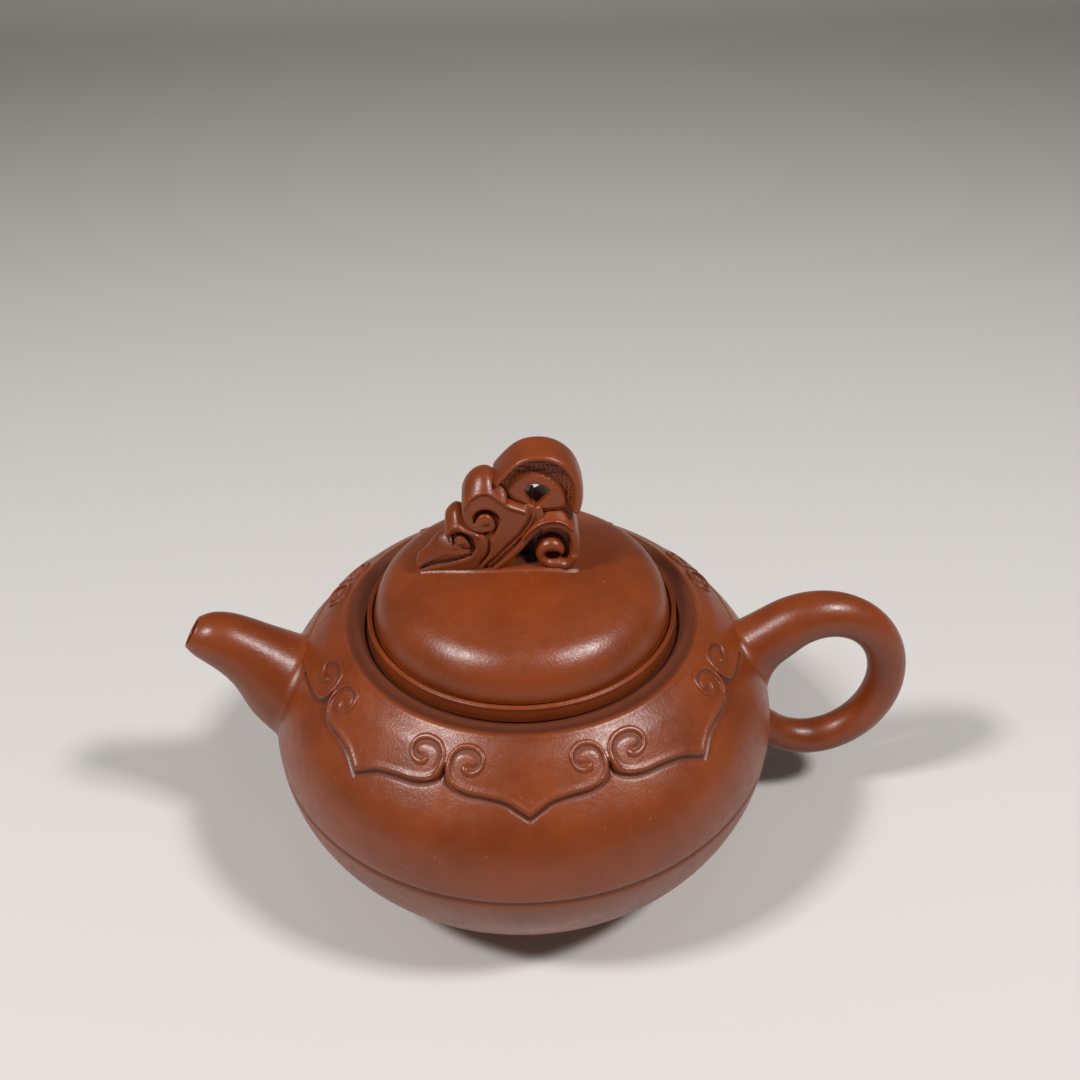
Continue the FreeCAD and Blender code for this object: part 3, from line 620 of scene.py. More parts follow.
def wall_gap(pot, points):
    """How far points stand off the pot's outside, and the outward direction there."""
    radius = np.hypot(points[..., 0], points[..., 1])
    height = points[..., 2]
    slope = shoulder_slope(pot)[0]
    lower = np.stack([radius - (pot.belly_radius - pot.lower_bend), height - pot.waist_height], -1)
    upper = np.stack([radius - (pot.belly_radius - pot.upper_bend), height - pot.waist_height], -1)
    sloped = np.stack([radius - slope[0], height - slope[1]], -1)
    low = height < pot.waist_height
    steep = np.arctan2(upper[..., 1], upper[..., 0]) > pot.shoulder_angle
    arm = np.where(low[..., None], lower, np.where(steep[..., None], sloped, upper))
    bend = np.where(low, pot.lower_bend, np.where(steep, pot.slope_bend, pot.upper_bend))
    size = np.linalg.norm(arm, axis=-1)
    way = arm / size[..., None]
    flat = points[..., :2] / np.maximum(radius, 1e-9)[..., None]
    return size - bend, np.concatenate([flat * way[..., :1], way[..., 1:]], -1)


def between(pot, low, high, count, inset=0.0):
    """Outline of the outside between two heights, upward, moved inward by the inset."""
    spots, ways = pot_outside(pot)
    keep = np.concatenate([[True], np.any(np.diff(spots, axis=0) != 0, axis=1)])
    spots = spots[keep] - inset * ways[keep]
    heights = spots[:, 1]
    inner = spots[(heights > low + 1e-6) & (heights < high - 1e-6)]
    ends = [(np.interp(level, heights, spots[:, 0]), level) for level in (low, high)]
    return evenly(np.vstack([ends[0], inner, ends[1]]), count)


# The cloud collar

# Half a cloud point: degrees from its tip, and the radius of the collar's edge
COLLAR_EDGE = [(0.0, 56.0), (2.5, 55.0), (5.7, 53.9), (10.7, 53.3), (15.3, 53.1), (18.8, 52.5),
               (21.4, 51.3), (22.5, 49.7)]
# A spiral thread beside its notch: distance along the notch's circle, and radius
THREAD = [(4.6, 52.35), (2.6, 51.6), (1.4, 50.6), (0.88, 49.5), (0.75, 48.3), (1.0, 47.3), (1.7, 46.45),
          (2.8, 45.8), (4.3, 45.5), (5.9, 45.6), (7.4, 46.2), (8.3, 47.1), (8.55, 48.1), (8.2, 48.95),
          (7.3, 49.55), (6.2, 49.75), (5.1, 49.55), (4.5, 49.0), (4.6, 48.5)]
# The hand-cut cloud points aren't quite even: degrees round the front, and how far the work strays there
STRAYS = [(-112.5, 0.0), (-67.5, 3.9), (-45.0, 1.25), (-22.5, 0.9), (0.0, -0.55), (22.5, -2.6),
          (45.0, -0.55), (67.5, -2.4), (112.5, 0.0)]
# Points along a thread, and steps round the pot in its fine relief
THREAD_COUNT = 170
RELIEF_STEPS = 1440
# How far the groove inside a spiral lies from its thread, and half its width
SPIRAL_ASIDE = 0.85
SPIRAL_HALF = 0.45
# Width over which the collar runs out at the crest, how far it lies sunk, and how steeply and how far
# its sheet dives outside the edge
COLLAR_FADE = 4.5
COLLAR_SUNK = 0.06
COLLAR_DIVE = 2.2
DIVE_REACH = 0.6


def plan(radius, degrees):
    """Point seen from above, with azimuth 0 at the front and 90 at +X."""
    turn = np.radians(degrees)
    return np.stack([radius * np.sin(turn), -radius * np.cos(turn)], -1)


def collar_line(relief):
    """Edge of the collar over one cloud point and a little beyond it, and half of it by degrees."""
    half = 180.0 / relief.panels
    stretch = half / COLLAR_EDGE[-1][0]
    side = smooth_line([(at * stretch, reach) for at, reach in COLLAR_EDGE], 140)
    mirrored = side[::-1] * (-1, 1)
    beyond = mirrored[:70] + (2 * half, 0)
    before = beyond[::-1] * (-1, 1)
    whole = np.vstack([before[:-1], mirrored, side[1:], beyond[1:]])
    return plan(whole[:, 1], whole[:, 0]), side


def off_tip(relief, azimuth):
    """Degrees from the tip of the nearest cloud point."""
    step = 360.0 / relief.panels
    return np.abs((azimuth + step / 2) % step - step / 2)


def on_shoulder(pot, radius, azimuth, height):
    """Points a height above the pot's shoulder, at radii and azimuths in degrees."""
    spots, ways = pot_outside(pot)
    top = spots[:, 1] >= pot.waist_height
    order = np.argsort(spots[top][:, 0], kind="stable")
    reach = spots[top][order]
    lean = ways[top][order]
    level = np.interp(radius, reach[:, 0], reach[:, 1])
    out = np.interp(radius, reach[:, 0], lean[:, 0])
    up = np.sqrt(1 - out ** 2)
    far = radius + height * out
    turn = np.radians(azimuth + np.interp(azimuth, *np.transpose(STRAYS), period=360))
    return np.stack([far * np.sin(turn), -far * np.cos(turn), level + height * up], -1)


def edge_gap(relief, radius, azimuth):
    """Distance inside the collar's edge, less than nothing outside it."""
    line, side = collar_line(relief)
    fold = off_tip(relief, azimuth)
    alike, back = told_apart(radius, fold)
    far = nearest(plan(alike[:, 0], alike[:, 1]), line)[0]
    limit = np.interp(fold, side[:, 0], side[:, 1])
    return np.where(radius < limit, 1, -1) * far[back]


def collar_height(relief, radius, azimuth):
    """Height of the collar's top above the shoulder."""
    gap = edge_gap(relief, radius, azimuth)
    rounded = np.sin(np.clip(gap / relief.lip_width, 0, 1) * np.pi / 2)
    bead = relief.lip_rise * np.exp(-((gap - relief.lip_width) / (0.6 * relief.lip_width)) ** 2)
    fade = np.clip((radius - relief.inner_radius) / COLLAR_FADE, 0, 1)
    fade = fade * fade * (3 - 2 * fade)
    top = np.where(gap > 0, (relief.thickness * rounded + bead * (gap > 0)) * fade, 0.0)
    return top - COLLAR_SUNK - relief.trough * (1 - rounded) - COLLAR_DIVE * np.clip(-gap, 0, DIVE_REACH)


def spiral_cut(relief, radius, azimuth):
    """Share of the groove that follows the inside of each spiral thread."""
    line = smooth_line(THREAD, THREAD_COUNT)
    step = 360.0 / relief.panels
    beside = np.radians(np.abs(azimuth % step - step / 2)) * radius
    alike, back = told_apart(beside, radius)
    far, place = nearest(alike, line + SPIRAL_ASIDE * left_of(line))
    fade = np.interp(place / len(line), [0, 0.12, 0.25, 0.85, 1], [0, 0.3, 1, 1, 0.2])
    return (fade * np.exp(-(far / SPIRAL_HALF) ** 2))[back]


# The pot's pieces

# Distance outside the collar's edge at which the line round it lies, and half its width
ROUND_LINE = 0.22
ROUND_HALF = 0.34
# Strength of the painted shade in the belly's line, in the line round the collar, in the relief and in the
# gutter
LINE_SHADE = 0.8
ROUND_SHADE = 0.75
RELIEF_SHADE = 0.7
GUTTER_SHADE = 0.85
# How far the collar's sheet passes its edge, and the depth of its underside below the shoulder
SHEET_PAST = 0.45
SHEET_DEPTH = 1.8
# Where the painted shade along the foot of the collar's lip lies inside the edge, and half its width
LIP_FOOT = 0.05
LIP_FOOT_HALF = 0.40
# Least height of a spiral thread's middle above the shoulder
THREAD_LEAST = 0.1
# Heights over which the trough runs out at the waist and under the mouth ring
WAIST_FADE = 4.0
SEAM_FADE = 0.6
# Radius of the fan in the middle of the base, and the roundings of the foot ring's inner and outer edge
BASE_MIDDLE = 6
FOOT_INNER_ROUND = 0.9
FOOT_OUTER_ROUND = 1.2
# Rounding of the mouth's edge, and the degrees of the crest's turn from which its painted shade comes in
MOUTH_ROUND = 0.6
SHADE_FROM = 82
SHADE_OVER = 12


class TEAPOT_OT_belly(bpy.types.Operator):
    """Lower wall with the incised line, and upper wall with the worked-down ground round the collar."""
    bl_idname = "teapot.belly"
    bl_label = "Build the Belly"

    def execute(self, context):
        pot = measures(context.scene.teapot_pot)
        relief = measures(context.scene.teapot_relief)
        outside = between(pot, pot.base_top, pot.waist_height, count=220)
        cut = pot.line_depth * np.exp(-((outside[:, 1] - pot.line_height) / pot.line_width) ** 2)
        outside[:, 0] -= cut
        inside = between(pot, pot.base_top, pot.waist_height, count=60, inset=pot.wall)[::-1]
        # Painted shade in the incised line, darkest at its bottom
        painted_shade = np.concatenate([cut / pot.line_depth * LINE_SHADE, np.zeros(len(inside))])
        outline = np.vstack([outside, inside])
        ring_piece("pot_belly_low", outline, "pot", ["belly_lower"], steps=560, painted_shade=painted_shade)

        outside = between(pot, pot.waist_height, pot.mouth_seam, count=190)
        inside = between(pot, pot.waist_height, pot.mouth_seam, count=40, inset=pot.wall)[::-1]
        azimuth = np.linspace(0, 360, RELIEF_STEPS, endpoint=False)
        radius, turn = np.broadcast_arrays(outside[:, :1], azimuth[None])
        gap = edge_gap(relief, radius, turn)
        cut = relief.groove * np.exp(-((gap + ROUND_LINE) / ROUND_HALF) ** 2)
        trough = relief.trough * np.exp(np.minimum(gap, 0) / relief.trough_reach)
        height = outside[:, 1:]
        fade = (np.clip((height - pot.waist_height) / WAIST_FADE, 0, 1)
                * np.clip((pot.mouth_seam - height) / SEAM_FADE, 0, 1))
        wall = on_shoulder(pot, radius, azimuth[None], -cut - trough * fade)
        points = np.concatenate([wall, spun(inside, RELIEF_STEPS)])
        # Painted shade in the groove round the collar's edge
        painted_shade = np.concatenate([cut / relief.groove * ROUND_SHADE, np.zeros((len(inside), RELIEF_STEPS))])
        faces = grid_faces(len(points), RELIEF_STEPS, close_rows=True)
        add_piece("pot_belly_high", points, faces, "pot", ["belly_upper"], painted_shade=painted_shade)
        return {"FINISHED"}


class TEAPOT_OT_foot(bpy.types.Operator):
    """Base disc and the rounded foot ring under it."""
    bl_idname = "teapot.foot"
    bl_label = "Build the Base and Foot"

    def execute(self, context):
        pot = measures(context.scene.teapot_pot)
        edge_line = between(pot, pot.base_lift, pot.base_top, count=14)
        under = np.linspace(BASE_MIDDLE, edge_line[0, 0] - 0.5, 12)
        over = np.linspace(edge_line[-1, 0] - 0.5, BASE_MIDDLE, 12)
        disc = np.vstack([[(0, pot.base_lift)], np.stack([under, np.full(12, pot.base_lift)], -1),
                          edge_line, np.stack([over, np.full(12, pot.base_top)], -1),
                          [(0, pot.base_top)]])
        disc_piece("pot_base", disc, "pot", ["base_disc"], steps=240, finish="bare_clay")

        outer, inner = pot.foot_radius, pot.foot_radius - pot.foot_width
        contact = edge_line[(edge_line[:, 0] > inner) & (edge_line[:, 0] < outer)]
        first, second = FOOT_INNER_ROUND, FOOT_OUTER_ROUND
        ring = np.vstack([[(inner, pot.base_lift), (inner, first)],
                          arc((inner + first, first), first, 180, 270, 8)[1:],
                          arc((outer - second, second), second, 270, 360, 10),
                          [(outer, contact[-1, 1])], contact[::-1]])
        ring_piece("pot_foot", ring, "pot", ["foot_ring"], steps=360, finish="bare_clay")
        return {"FINISHED"}


class TEAPOT_OT_mouth(bpy.types.Operator):
    """Mouth ring: shoulder, crest, gutter and the ledge that carries the lid."""
    bl_idname = "teapot.mouth"
    bl_label = "Build the Mouth Ring"

    def execute(self, context):
        pot = measures(context.scene.teapot_pot)
        slope, slope_end = shoulder_slope(pot)
        shoulder = between(pot, pot.mouth_seam, pot_outside(pot)[0][-1, 1], count=36)
        turn = math.radians(slope_end)
        crest = (slope[0] + (pot.slope_bend - pot.crest_round) * math.cos(turn),
                 slope[1] + (pot.slope_bend - pot.crest_round) * math.sin(turn))
        crest_end = slope_end + math.degrees(pot.crest_angle)
        top = arc(crest, pot.crest_round, slope_end, crest_end, 20)
        start, level, ledge = top[-1], pot.gutter_height, pot.ledge_height
        inner, mouth = pot.gutter_radius, pot.mouth_radius
        # From the crest down to the gutter's floor, and over its inner edge to the ledge
        gutter = smooth_line([start, (start[0] - 1.1, level + 0.25), (start[0] - 2.0, level + 0.03),
                              (inner + 0.25, level - 0.03), (inner, level - 0.3),
                              (inner - 0.1, ledge + 0.2), (inner - 0.4, ledge)], 30)[1:]
        rest = [(mouth + MOUTH_ROUND, ledge), (mouth, ledge - MOUTH_ROUND), (mouth, pot.mouth_seam)]
        turned = np.linspace(slope_end, crest_end, 20)[1:]
        # Painted shade over the inside of the crest, the gutter and the ledge under the lid
        painted_shade = np.concatenate([np.zeros(len(shoulder)), np.clip((turned - SHADE_FROM) / SHADE_OVER, 0, 1),
                                np.ones(len(gutter) + len(rest))])
        outline = np.vstack([shoulder, top[1:], gutter, rest])
        ring_piece("pot_mouth", outline, "pot", ["mouth_ring"], steps=480, painted_shade=GUTTER_SHADE * painted_shade)
        return {"FINISHED"}


class TEAPOT_OT_collar(bpy.types.Operator):
    """Cloud collar with its rounded lip, running out at the crest."""
    bl_idname = "teapot.collar"
    bl_label = "Build the Cloud Collar"

    def execute(self, context):
        pot = measures(context.scene.teapot_pot)
        relief = measures(context.scene.teapot_relief)
        rows = 84
        azimuth = np.linspace(0, 360, RELIEF_STEPS, endpoint=False)
        side = collar_line(relief)[1]
        limit = np.interp(off_tip(relief, azimuth), side[:, 0], side[:, 1]) + SHEET_PAST
        share_out = np.linspace(0, 1, rows) ** 0.8
        radius = relief.inner_radius + (limit - relief.inner_radius)[None] * share_out[:, None]
        turn = np.repeat(azimuth[None], rows, 0)
        spiral = spiral_cut(relief, radius, turn)
        lip_foot = np.exp(-((edge_gap(relief, radius, turn) - LIP_FOOT) / LIP_FOOT_HALF) ** 2)
        top = on_shoulder(pot, radius, turn, collar_height(relief, radius, turn) - relief.groove * spiral)
        under = on_shoulder(pot, radius[[-1, 0]], turn[:2], np.full((2, RELIEF_STEPS), -SHEET_DEPTH))
        points = np.concatenate([top, under])
        faces = grid_faces(len(points), RELIEF_STEPS, close_rows=True)[:, ::-1]
        # Painted shade in the groove inside each spiral and along the foot of the lip
        painted_shade = np.concatenate([RELIEF_SHADE * np.maximum(spiral, lip_foot), np.zeros((2, RELIEF_STEPS))])
        add_piece("pot_collar", points, faces, "pot", ["cloud_collar"], painted_shade=painted_shade, crease=70)
        return {"FINISHED"}


class TEAPOT_OT_scrolls(bpy.types.Operator):
    """Paired spiral threads that run on from the collar's lip at each notch."""
    bl_idname = "teapot.scrolls"
    bl_label = "Build the Spiral Threads"

    def execute(self, context):
        pot = measures(context.scene.teapot_pot)
        relief = measures(context.scene.teapot_relief)
        line = smooth_line(THREAD, THREAD_COUNT)
        across = left_of(line)
        sides = 14
        part = np.linspace(0, 1, THREAD_COUNT)
        swell = np.interp(part, [0, 0.1, 0.2, 0.9, 0.955, 0.985, 1], [0.15, 0.6, 1, 1, 1.25, 1.0, 0.25])
        turn = np.linspace(0, 2 * np.pi, sides, endpoint=False)
        spread = (relief.thread_width * swell)[:, None] * np.cos(turn)
        lift = (relief.thread_rise * swell)[:, None] * np.sin(turn)
        beside = line[:, None, 0] + across[:, None, 0] * spread
        radius = line[:, None, 1] + across[:, None, 1] * spread
        faces = tube_faces(THREAD_COUNT, sides)
        for number in range(relief.panels):
            notch = (number + 0.5) * 360.0 / relief.panels
            tubes = []
            for hand in (-1, 1):
                middle = notch + hand * np.degrees(line[:, 0] / line[:, 1])
                ground = np.maximum(collar_height(relief, line[:, 1], middle)[:, None], THREAD_LEAST)
                tube = on_shoulder(pot, radius, notch + hand * np.degrees(beside / radius), ground + lift)
                tubes.append(tube.reshape(-1, 3))
            pair = np.vstack([faces[:, ::-1], faces + len(tubes[0])])
            nodes = [f"cloud_scroll_{number + 1}"]
            add_piece(f"pot_scroll_{number + 1}", np.vstack(tubes), pair, "pot", nodes)
        return {"FINISHED"}


# Spout and handle

# Root, bend and tip of the spout's middle line, in x and z
SPOUT_LINE = [(-50.0, 33.0), (-65.89, 61.66), (-80.2, 64.7)]
# Shares of the way along the spout where its radius is root, root, neck, half way, tip
SPOUT_SHARES = (0.0, 0.3, 0.55, 0.8, 1.0)
# Length over which the spout's end turns to the tipped lip, and over which its outside draws in
LIP_REACH = 11.0
LIP_DRAWN = 3.5
# Bulge of the lip's round as a share of half its width
LIP_BULGE = 0.9
# Rows of the bore, which ends inside the wall
BORE_ROWS = 92
# The handle's stations, with a straight lead before the first of the loop and after the last
HANDLE_STATIONS = 12
# Depth in the belly of a smoothed joint's outer edge, and further depth of its last row
EDGE_SUNK = 0.45
LAST_SUNK = 1.2


def tube_points(middle, radius, turn):
    """Rings of points round a middle line of x and z."""
    up = left_of(middle)
    arm = radius[:, None, None]
    flat = middle[:, None] + arm * np.cos(turn)[None, :, None] * up[:, None]
    deep = arm[..., 0] * np.sin(turn)[None]
    return np.stack([flat[..., 0], deep, flat[..., 1]], -1)


def settled(pot, tube, blend, rows=90, joint_rows=14):
    """A tube, free end first, shortened to the belly and smoothed onto it along every side.

    The blend is one length, or one for each side. Returns the rows of points and
    a last row sunk inside the wall.
    """
    gap = wall_gap(pot, tube)[0]
    sides = tube.shape[1]
    columns = np.arange(sides)
    blend = np.broadcast_to(blend, sides)
    hit = np.maximum((gap < 0).argmax(0), 1)
    out, into = gap[hit - 1, columns], gap[hit, columns]
    cross = hit - 1 + out / (out - into)
    runs = np.linalg.norm(np.diff(tube, axis=0), axis=-1)
    steps = np.concatenate([np.zeros((1, sides)), np.cumsum(runs, axis=0)])

    def along(column, places):
        rail = steps[:, column]
        return np.stack([np.interp(places, rail, tube[:, column, axis]) for axis in range(3)], -1)

    body = np.empty((rows, sides, 3))
    touch = np.empty((sides, 3))
    for column in columns:
        whole = np.interp(cross[column], np.arange(len(tube)), steps[:, column])
        touch[column] = along(column, [whole])[0]
        body[:, column] = along(column, np.linspace(0, whole - blend[column], rows))
    facing = wall_gap(pot, touch)[1]
    spread = touch - touch.mean(0)
    spread = unit(spread - (spread * facing).sum(-1)[:, None] * facing)
    land = touch + blend[:, None] * spread
    off, facing = wall_gap(pot, land)
    land = land - (off + EDGE_SUNK)[:, None] * facing
    part = np.linspace(0, 1, joint_rows)[1:, None, None]
    joint = body[-1] * (1 - part) ** 2 + touch * 2 * part * (1 - part) + land * part ** 2
    return np.concatenate([body, joint, (land - LAST_SUNK * facing)[None]])


class TEAPOT_OT_spout(bpy.types.Operator):
    """Tapered spout with a rounded lip and its bore, smoothed onto the belly, and the strainer's clay."""
    bl_idname = "teapot.spout"
    bl_label = "Build the Spout"

    def execute(self, context):
        pot = measures(context.scene.teapot_pot)
        spout = measures(context.scene.teapot_spout)
        sides = 128
        turn = np.linspace(0, 2 * np.pi, sides, endpoint=False)
        part = np.linspace(1, 0, 160)
        place = part[:, None]
        root, bend, tip = (np.array(spot) for spot in SPOUT_LINE)
        middle = root * (1 - place) ** 2 + bend * 2 * place * (1 - place) + tip * place ** 2
        wide, neck, slim = spout.root_radius, spout.neck_radius, spout.tip_radius
        taper = smooth_line(list(zip(SPOUT_SHARES, (wide, wide, neck, (neck + slim) / 2, slim))), 200)
        from_tip = np.linalg.norm(middle - tip, axis=1)
        radius = np.interp(part, taper[:, 0], taper[:, 1])
        radius = radius - spout.lip_round * np.clip(1 - from_tip / LIP_DRAWN, 0, 1) ** 2
        bored = spout.bore_root + (spout.bore_tip - spout.bore_root) * part
        ahead = np.insert(unit(tip - bend), 1, 0)
        lean = math.tan(spout.lip_angle) * np.clip(1 - from_tip / LIP_REACH, 0, 1) ** 2
        back = -(lean[:, None] * np.cos(turn))[..., None] * ahead
        shell = settled(pot, tube_points(middle, radius, turn) + radius[:, None, None] * back, spout.blend)
        bore = (tube_points(middle, bored, turn) + bored[:, None, None] * back)[:BORE_ROWS][::-1]
        outer, inner = shell[0], bore[-1]
        half = np.linalg.norm(outer - inner, axis=1)[:, None] / 2
        lip = [(inner + outer) / 2 + (inner - outer) / 2 * math.cos(at)
               + ahead * half * math.sin(at) * LIP_BULGE for at in np.linspace(0, np.pi, 13)[1:-1]]
        points = np.concatenate([shell, bore, np.array(lip)])
        add_piece("pot_spout", points, grid_faces(len(points), sides, close_rows=True), "pot", ["spout"])
        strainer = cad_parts["strainer"]
        strainer.data.materials.clear()
        strainer.data.materials.append(finish_named("bare_clay"))
        return {"FINISHED"}


class TEAPOT_OT_handle(bpy.types.Operator):
    """Ring handle, thickest at its upper joint, smoothed onto the belly at both ends."""
    bl_idname = "teapot.handle"
    bl_label = "Build the Handle"

    def execute(self, context):
        pot = measures(context.scene.teapot_pot)
        grip = measures(context.scene.teapot_handle)
        sides = 96
        turn = np.linspace(0, 2 * np.pi, sides, endpoint=False)
        part = np.linspace(-0.06, 1.06, 361)
        station = HANDLE_STATIONS * part
        bent = np.clip((station - 1) / (HANDLE_STATIONS - 2), 0, 1)
        swing = grip.top_angle + (grip.low_angle - grip.top_angle) * bent
        way = unit(np.stack([grip.reach * np.sin(swing), -grip.rise * np.cos(swing)], -1))
        lead = grip.lead * (np.maximum(station - HANDLE_STATIONS + 1, 0) - np.maximum(1 - station, 0))
        loop = np.stack([grip.loop_x + grip.reach * np.cos(swing),
                         grip.loop_z + grip.rise * np.sin(swing)], -1)
        joint = np.where(part < 0.5, grip.root, grip.tail)
        radius = grip.grip + (joint - grip.grip) * (1 - 2 * np.clip(part, 0, 1)) ** 2
        tube = tube_points(loop + way * lead[:, None], radius, turn)
        half = len(part) // 2
        under = np.clip(-np.cos(turn), 0, 1) ** 2
        upper = settled(pot, tube[:half + 1][::-1], grip.blend + grip.inner_blend * under, joint_rows=24)
        lower = settled(pot, tube[half:], grip.blend)
        points = np.concatenate([upper[::-1], lower[1:]])
        add_piece("pot_handle", points, tube_faces(len(points), sides)[:, ::-1], "pot", ["handle"])
        return {"FINISHED"}


# The lid

# Depth of the dome's foot below the top of the rim
DOME_SUNK = 0.4
# Radius inside which the dome's points shift sideways with the vent, and the width over which they do
SHIFT_RADIUS = 9.0
SHIFT_WIDTH = 7.0
# Rounding of the rim's lower edge, radius of its two fine beads, and rounding of the flange's edges
RIM_ROUND = 0.5
FINE_BEAD = 0.30
FLANGE_ROUND = 0.8


def dome_circles(lid):
    """Radius and height of the middle of the dome's rounded side, and the radius of its crown."""
    bend_x = lid.dome_radius - lid.dome_bend
    foot = lid.seat + lid.rim_height - DOME_SUNK
    return bend_x, foot, bend_x / math.cos(lid.dome_angle) + lid.dome_bend


def dome_height(lid, radius):
    """Height of the dome's outside at a radius."""
    bend_x, foot, cap = dome_circles(lid)
    join = bend_x + lid.dome_bend * math.cos(lid.dome_angle)
    crown = lid.dome_top - cap + np.sqrt(np.maximum(cap ** 2 - radius ** 2, 0))
    round_side = foot + np.sqrt(np.maximum(lid.dome_bend ** 2 - np.maximum(radius - bend_x, 0) ** 2, 0))
    return np.where(radius < join, crown, round_side)


def dome_outline(lid, inset, count):
    """The dome's curve from its foot to the vent, set in from the outside."""
    bend_x, foot, cap = dome_circles(lid)
    turn = math.degrees(lid.dome_angle)
    side = arc((bend_x, foot), lid.dome_bend - inset, 0, turn, count // 2)
    last = math.degrees(math.acos(lid.vent / (cap - inset)))
    crown = arc((0, lid.dome_top - cap), cap - inset, turn, last, count)
    return np.vstack([side, crown[1:]])


class TEAPOT_OT_lid(bpy.types.Operator):
    """Dome with its vent, rim with two fine beads, and the flange that drops into the mouth."""
    bl_idname = "teapot.lid"
    bl_label = "Build the Lid"

    def execute(self, context):
        lid = measures(context.scene.teapot_lid)
        steps = 480
        outline = np.vstack([dome_outline(lid, 0, 60), dome_outline(lid, lid.wall, 40)[::-1]])
        dome = spun(outline, steps)
        near = np.clip(SHIFT_RADIUS - outline[:, :1], 0, SHIFT_WIDTH) / SHIFT_WIDTH
        dome[..., 0] += lid.vent_x * near ** 2
        add_piece("cap_dome", dome, grid_faces(len(outline), steps, close_rows=True), "lid", ["lid_dome"])

        low, top, bead = lid.seat, lid.seat + lid.rim_height, lid.bead
        side, bead_x, bead_z = lid.rim_radius, lid.rim_radius - bead, top - bead
        inner, foot, groove = lid.flange_radius - lid.flange_wall, lid.dome_radius, lid.dome_radius + 0.30
        # Underside, lower edge, side, two fine beads with a dip between them, and the groove at the dome
        rim = np.vstack([
            [(inner, low), (side - RIM_ROUND, low)],
            arc((side - RIM_ROUND, low + RIM_ROUND), RIM_ROUND, 270, 360, 6)[1:],
            [(side - 0.06, top - 2.2 * bead), (side - 0.10, top - 1.75 * bead)],
            arc((bead_x + 0.30, bead_z + 0.32), FINE_BEAD, -18, 105, 10),
            [(bead_x + 0.02, top - 0.15)],
            arc((bead_x - 0.26, bead_z + 0.32), FINE_BEAD, 80, 185, 10),
            [(groove + 0.16, top - 1.05 * bead), (groove - 0.1, top - 1.35 * bead)],
            [(foot - 0.4, top - 1.3 * bead), (foot - 0.8, top - DOME_SUNK), (inner, top - DOME_SUNK)],
        ])
        ring_piece("cap_rim", rim, "lid", ["lid_rim"], steps)

        edge_z = lid.flange_low + FLANGE_ROUND
        flange = np.vstack([[(inner, low)], arc((inner + FLANGE_ROUND, edge_z), FLANGE_ROUND, 180, 270, 8),
                            arc((lid.flange_radius - FLANGE_ROUND, edge_z), FLANGE_ROUND, 270, 360, 8),
                            [(lid.flange_radius, low)]])
        ring_piece("cap_flange", flange, "lid", ["lid_flange"], steps=360, finish="bare_clay")
        return {"FINISHED"}


# The cloud knob: points in x and z on its front face, measured from the top of the dome

# Half depth of the knob along x at its foot; it thins towards the top
KNOB_FACE = [(-25.0, 1.7), (-22.0, 2.4), (-18.0, 3.7), (-14.0, 4.9), (-10.0, 5.7), (-6.0, 6.2),
             (0.0, 6.4), (14.0, 6.4)]
# Foot of the knob: x, half depth and height of its top
PAD = [(-24.0, 1.8, -3.1), (-20.0, 3.0, -2.1), (-15.0, 4.7, -1.1), (-9.0, 6.1, -0.4), (-3.0, 6.6, 0.0),
       (6.0, 6.7, 0.0), (11.5, 6.7, -0.5), (13.8, 5.9, -0.9)]
# Outlines of the large curl, its neck and the small curl
LARGE_FACE = [(-10.9, 19.3), (-9.6, 20.3), (-8.1, 20.8), (-6.5, 20.5), (-4.4, 18.6), (-2.8, 17.2),
              (-3.2, 14.5), (-4.2, 12.0), (-5.8, 10.2), (-8.3, 9.6), (-9.9, 9.8), (-11.4, 10.5),
              (-12.5, 11.8), (-13.0, 13.6), (-12.9, 15.6), (-12.1, 17.6)]
LARGE_NECK = [(-12.0, 12.6), (-11.6, 9.2), (-8.6, 7.4), (-6.0, 7.6), (-4.6, 10.6), (-5.6, 13.4),
              (-8.8, 14.0)]
SMALL_FACE = [(-16.9, 9.4), (-15.6, 10.9), (-14.3, 11.4), (-12.8, 10.6), (-11.0, 9.9), (-9.7, 9.2),
              (-8.2, 8.2), (-7.5, 6.4), (-7.9, 3.9), (-9.3, 1.5), (-10.6, -0.6), (-11.6, -0.6),
              (-11.4, 2.0), (-11.8, 4.0), (-13.8, 4.6), (-15.2, 5.1), (-16.6, 6.2), (-17.2, 7.8)]
# Rolled grooves of the curls: x, z and half width
LARGE_GROOVE = [(-6.7, 8.6, 0.3), (-5.6, 10.0, 0.55), (-5.1, 11.8, 0.65), (-5.4, 13.5, 0.7),
                (-6.3, 14.7, 0.72), (-7.8, 15.3, 0.72), (-9.3, 14.9, 0.65), (-10.2, 13.7, 0.5),
                (-10.4, 12.5, 0.25)]
SMALL_GROOVE = [(-11.7, 3.6, 0.35), (-11.0, 5.4, 0.6), (-11.2, 7.2, 0.7), (-12.1, 8.5, 0.7),
                (-13.5, 9.1, 0.68), (-14.8, 8.7, 0.62), (-15.6, 7.6, 0.55), (-15.5, 6.5, 0.5),
                (-14.7, 5.5, 0.5), (-13.2, 5.0, 0.5), (-11.9, 5.0, 0.5)]
# Balls in the eyes of the curls: x, z, radius and how far they stand before the face
LARGE_BALL = (-7.8, 12.9, 1.6, 0.35)
SMALL_BALL = (-13.6, 6.95, 1.25, 0.35)
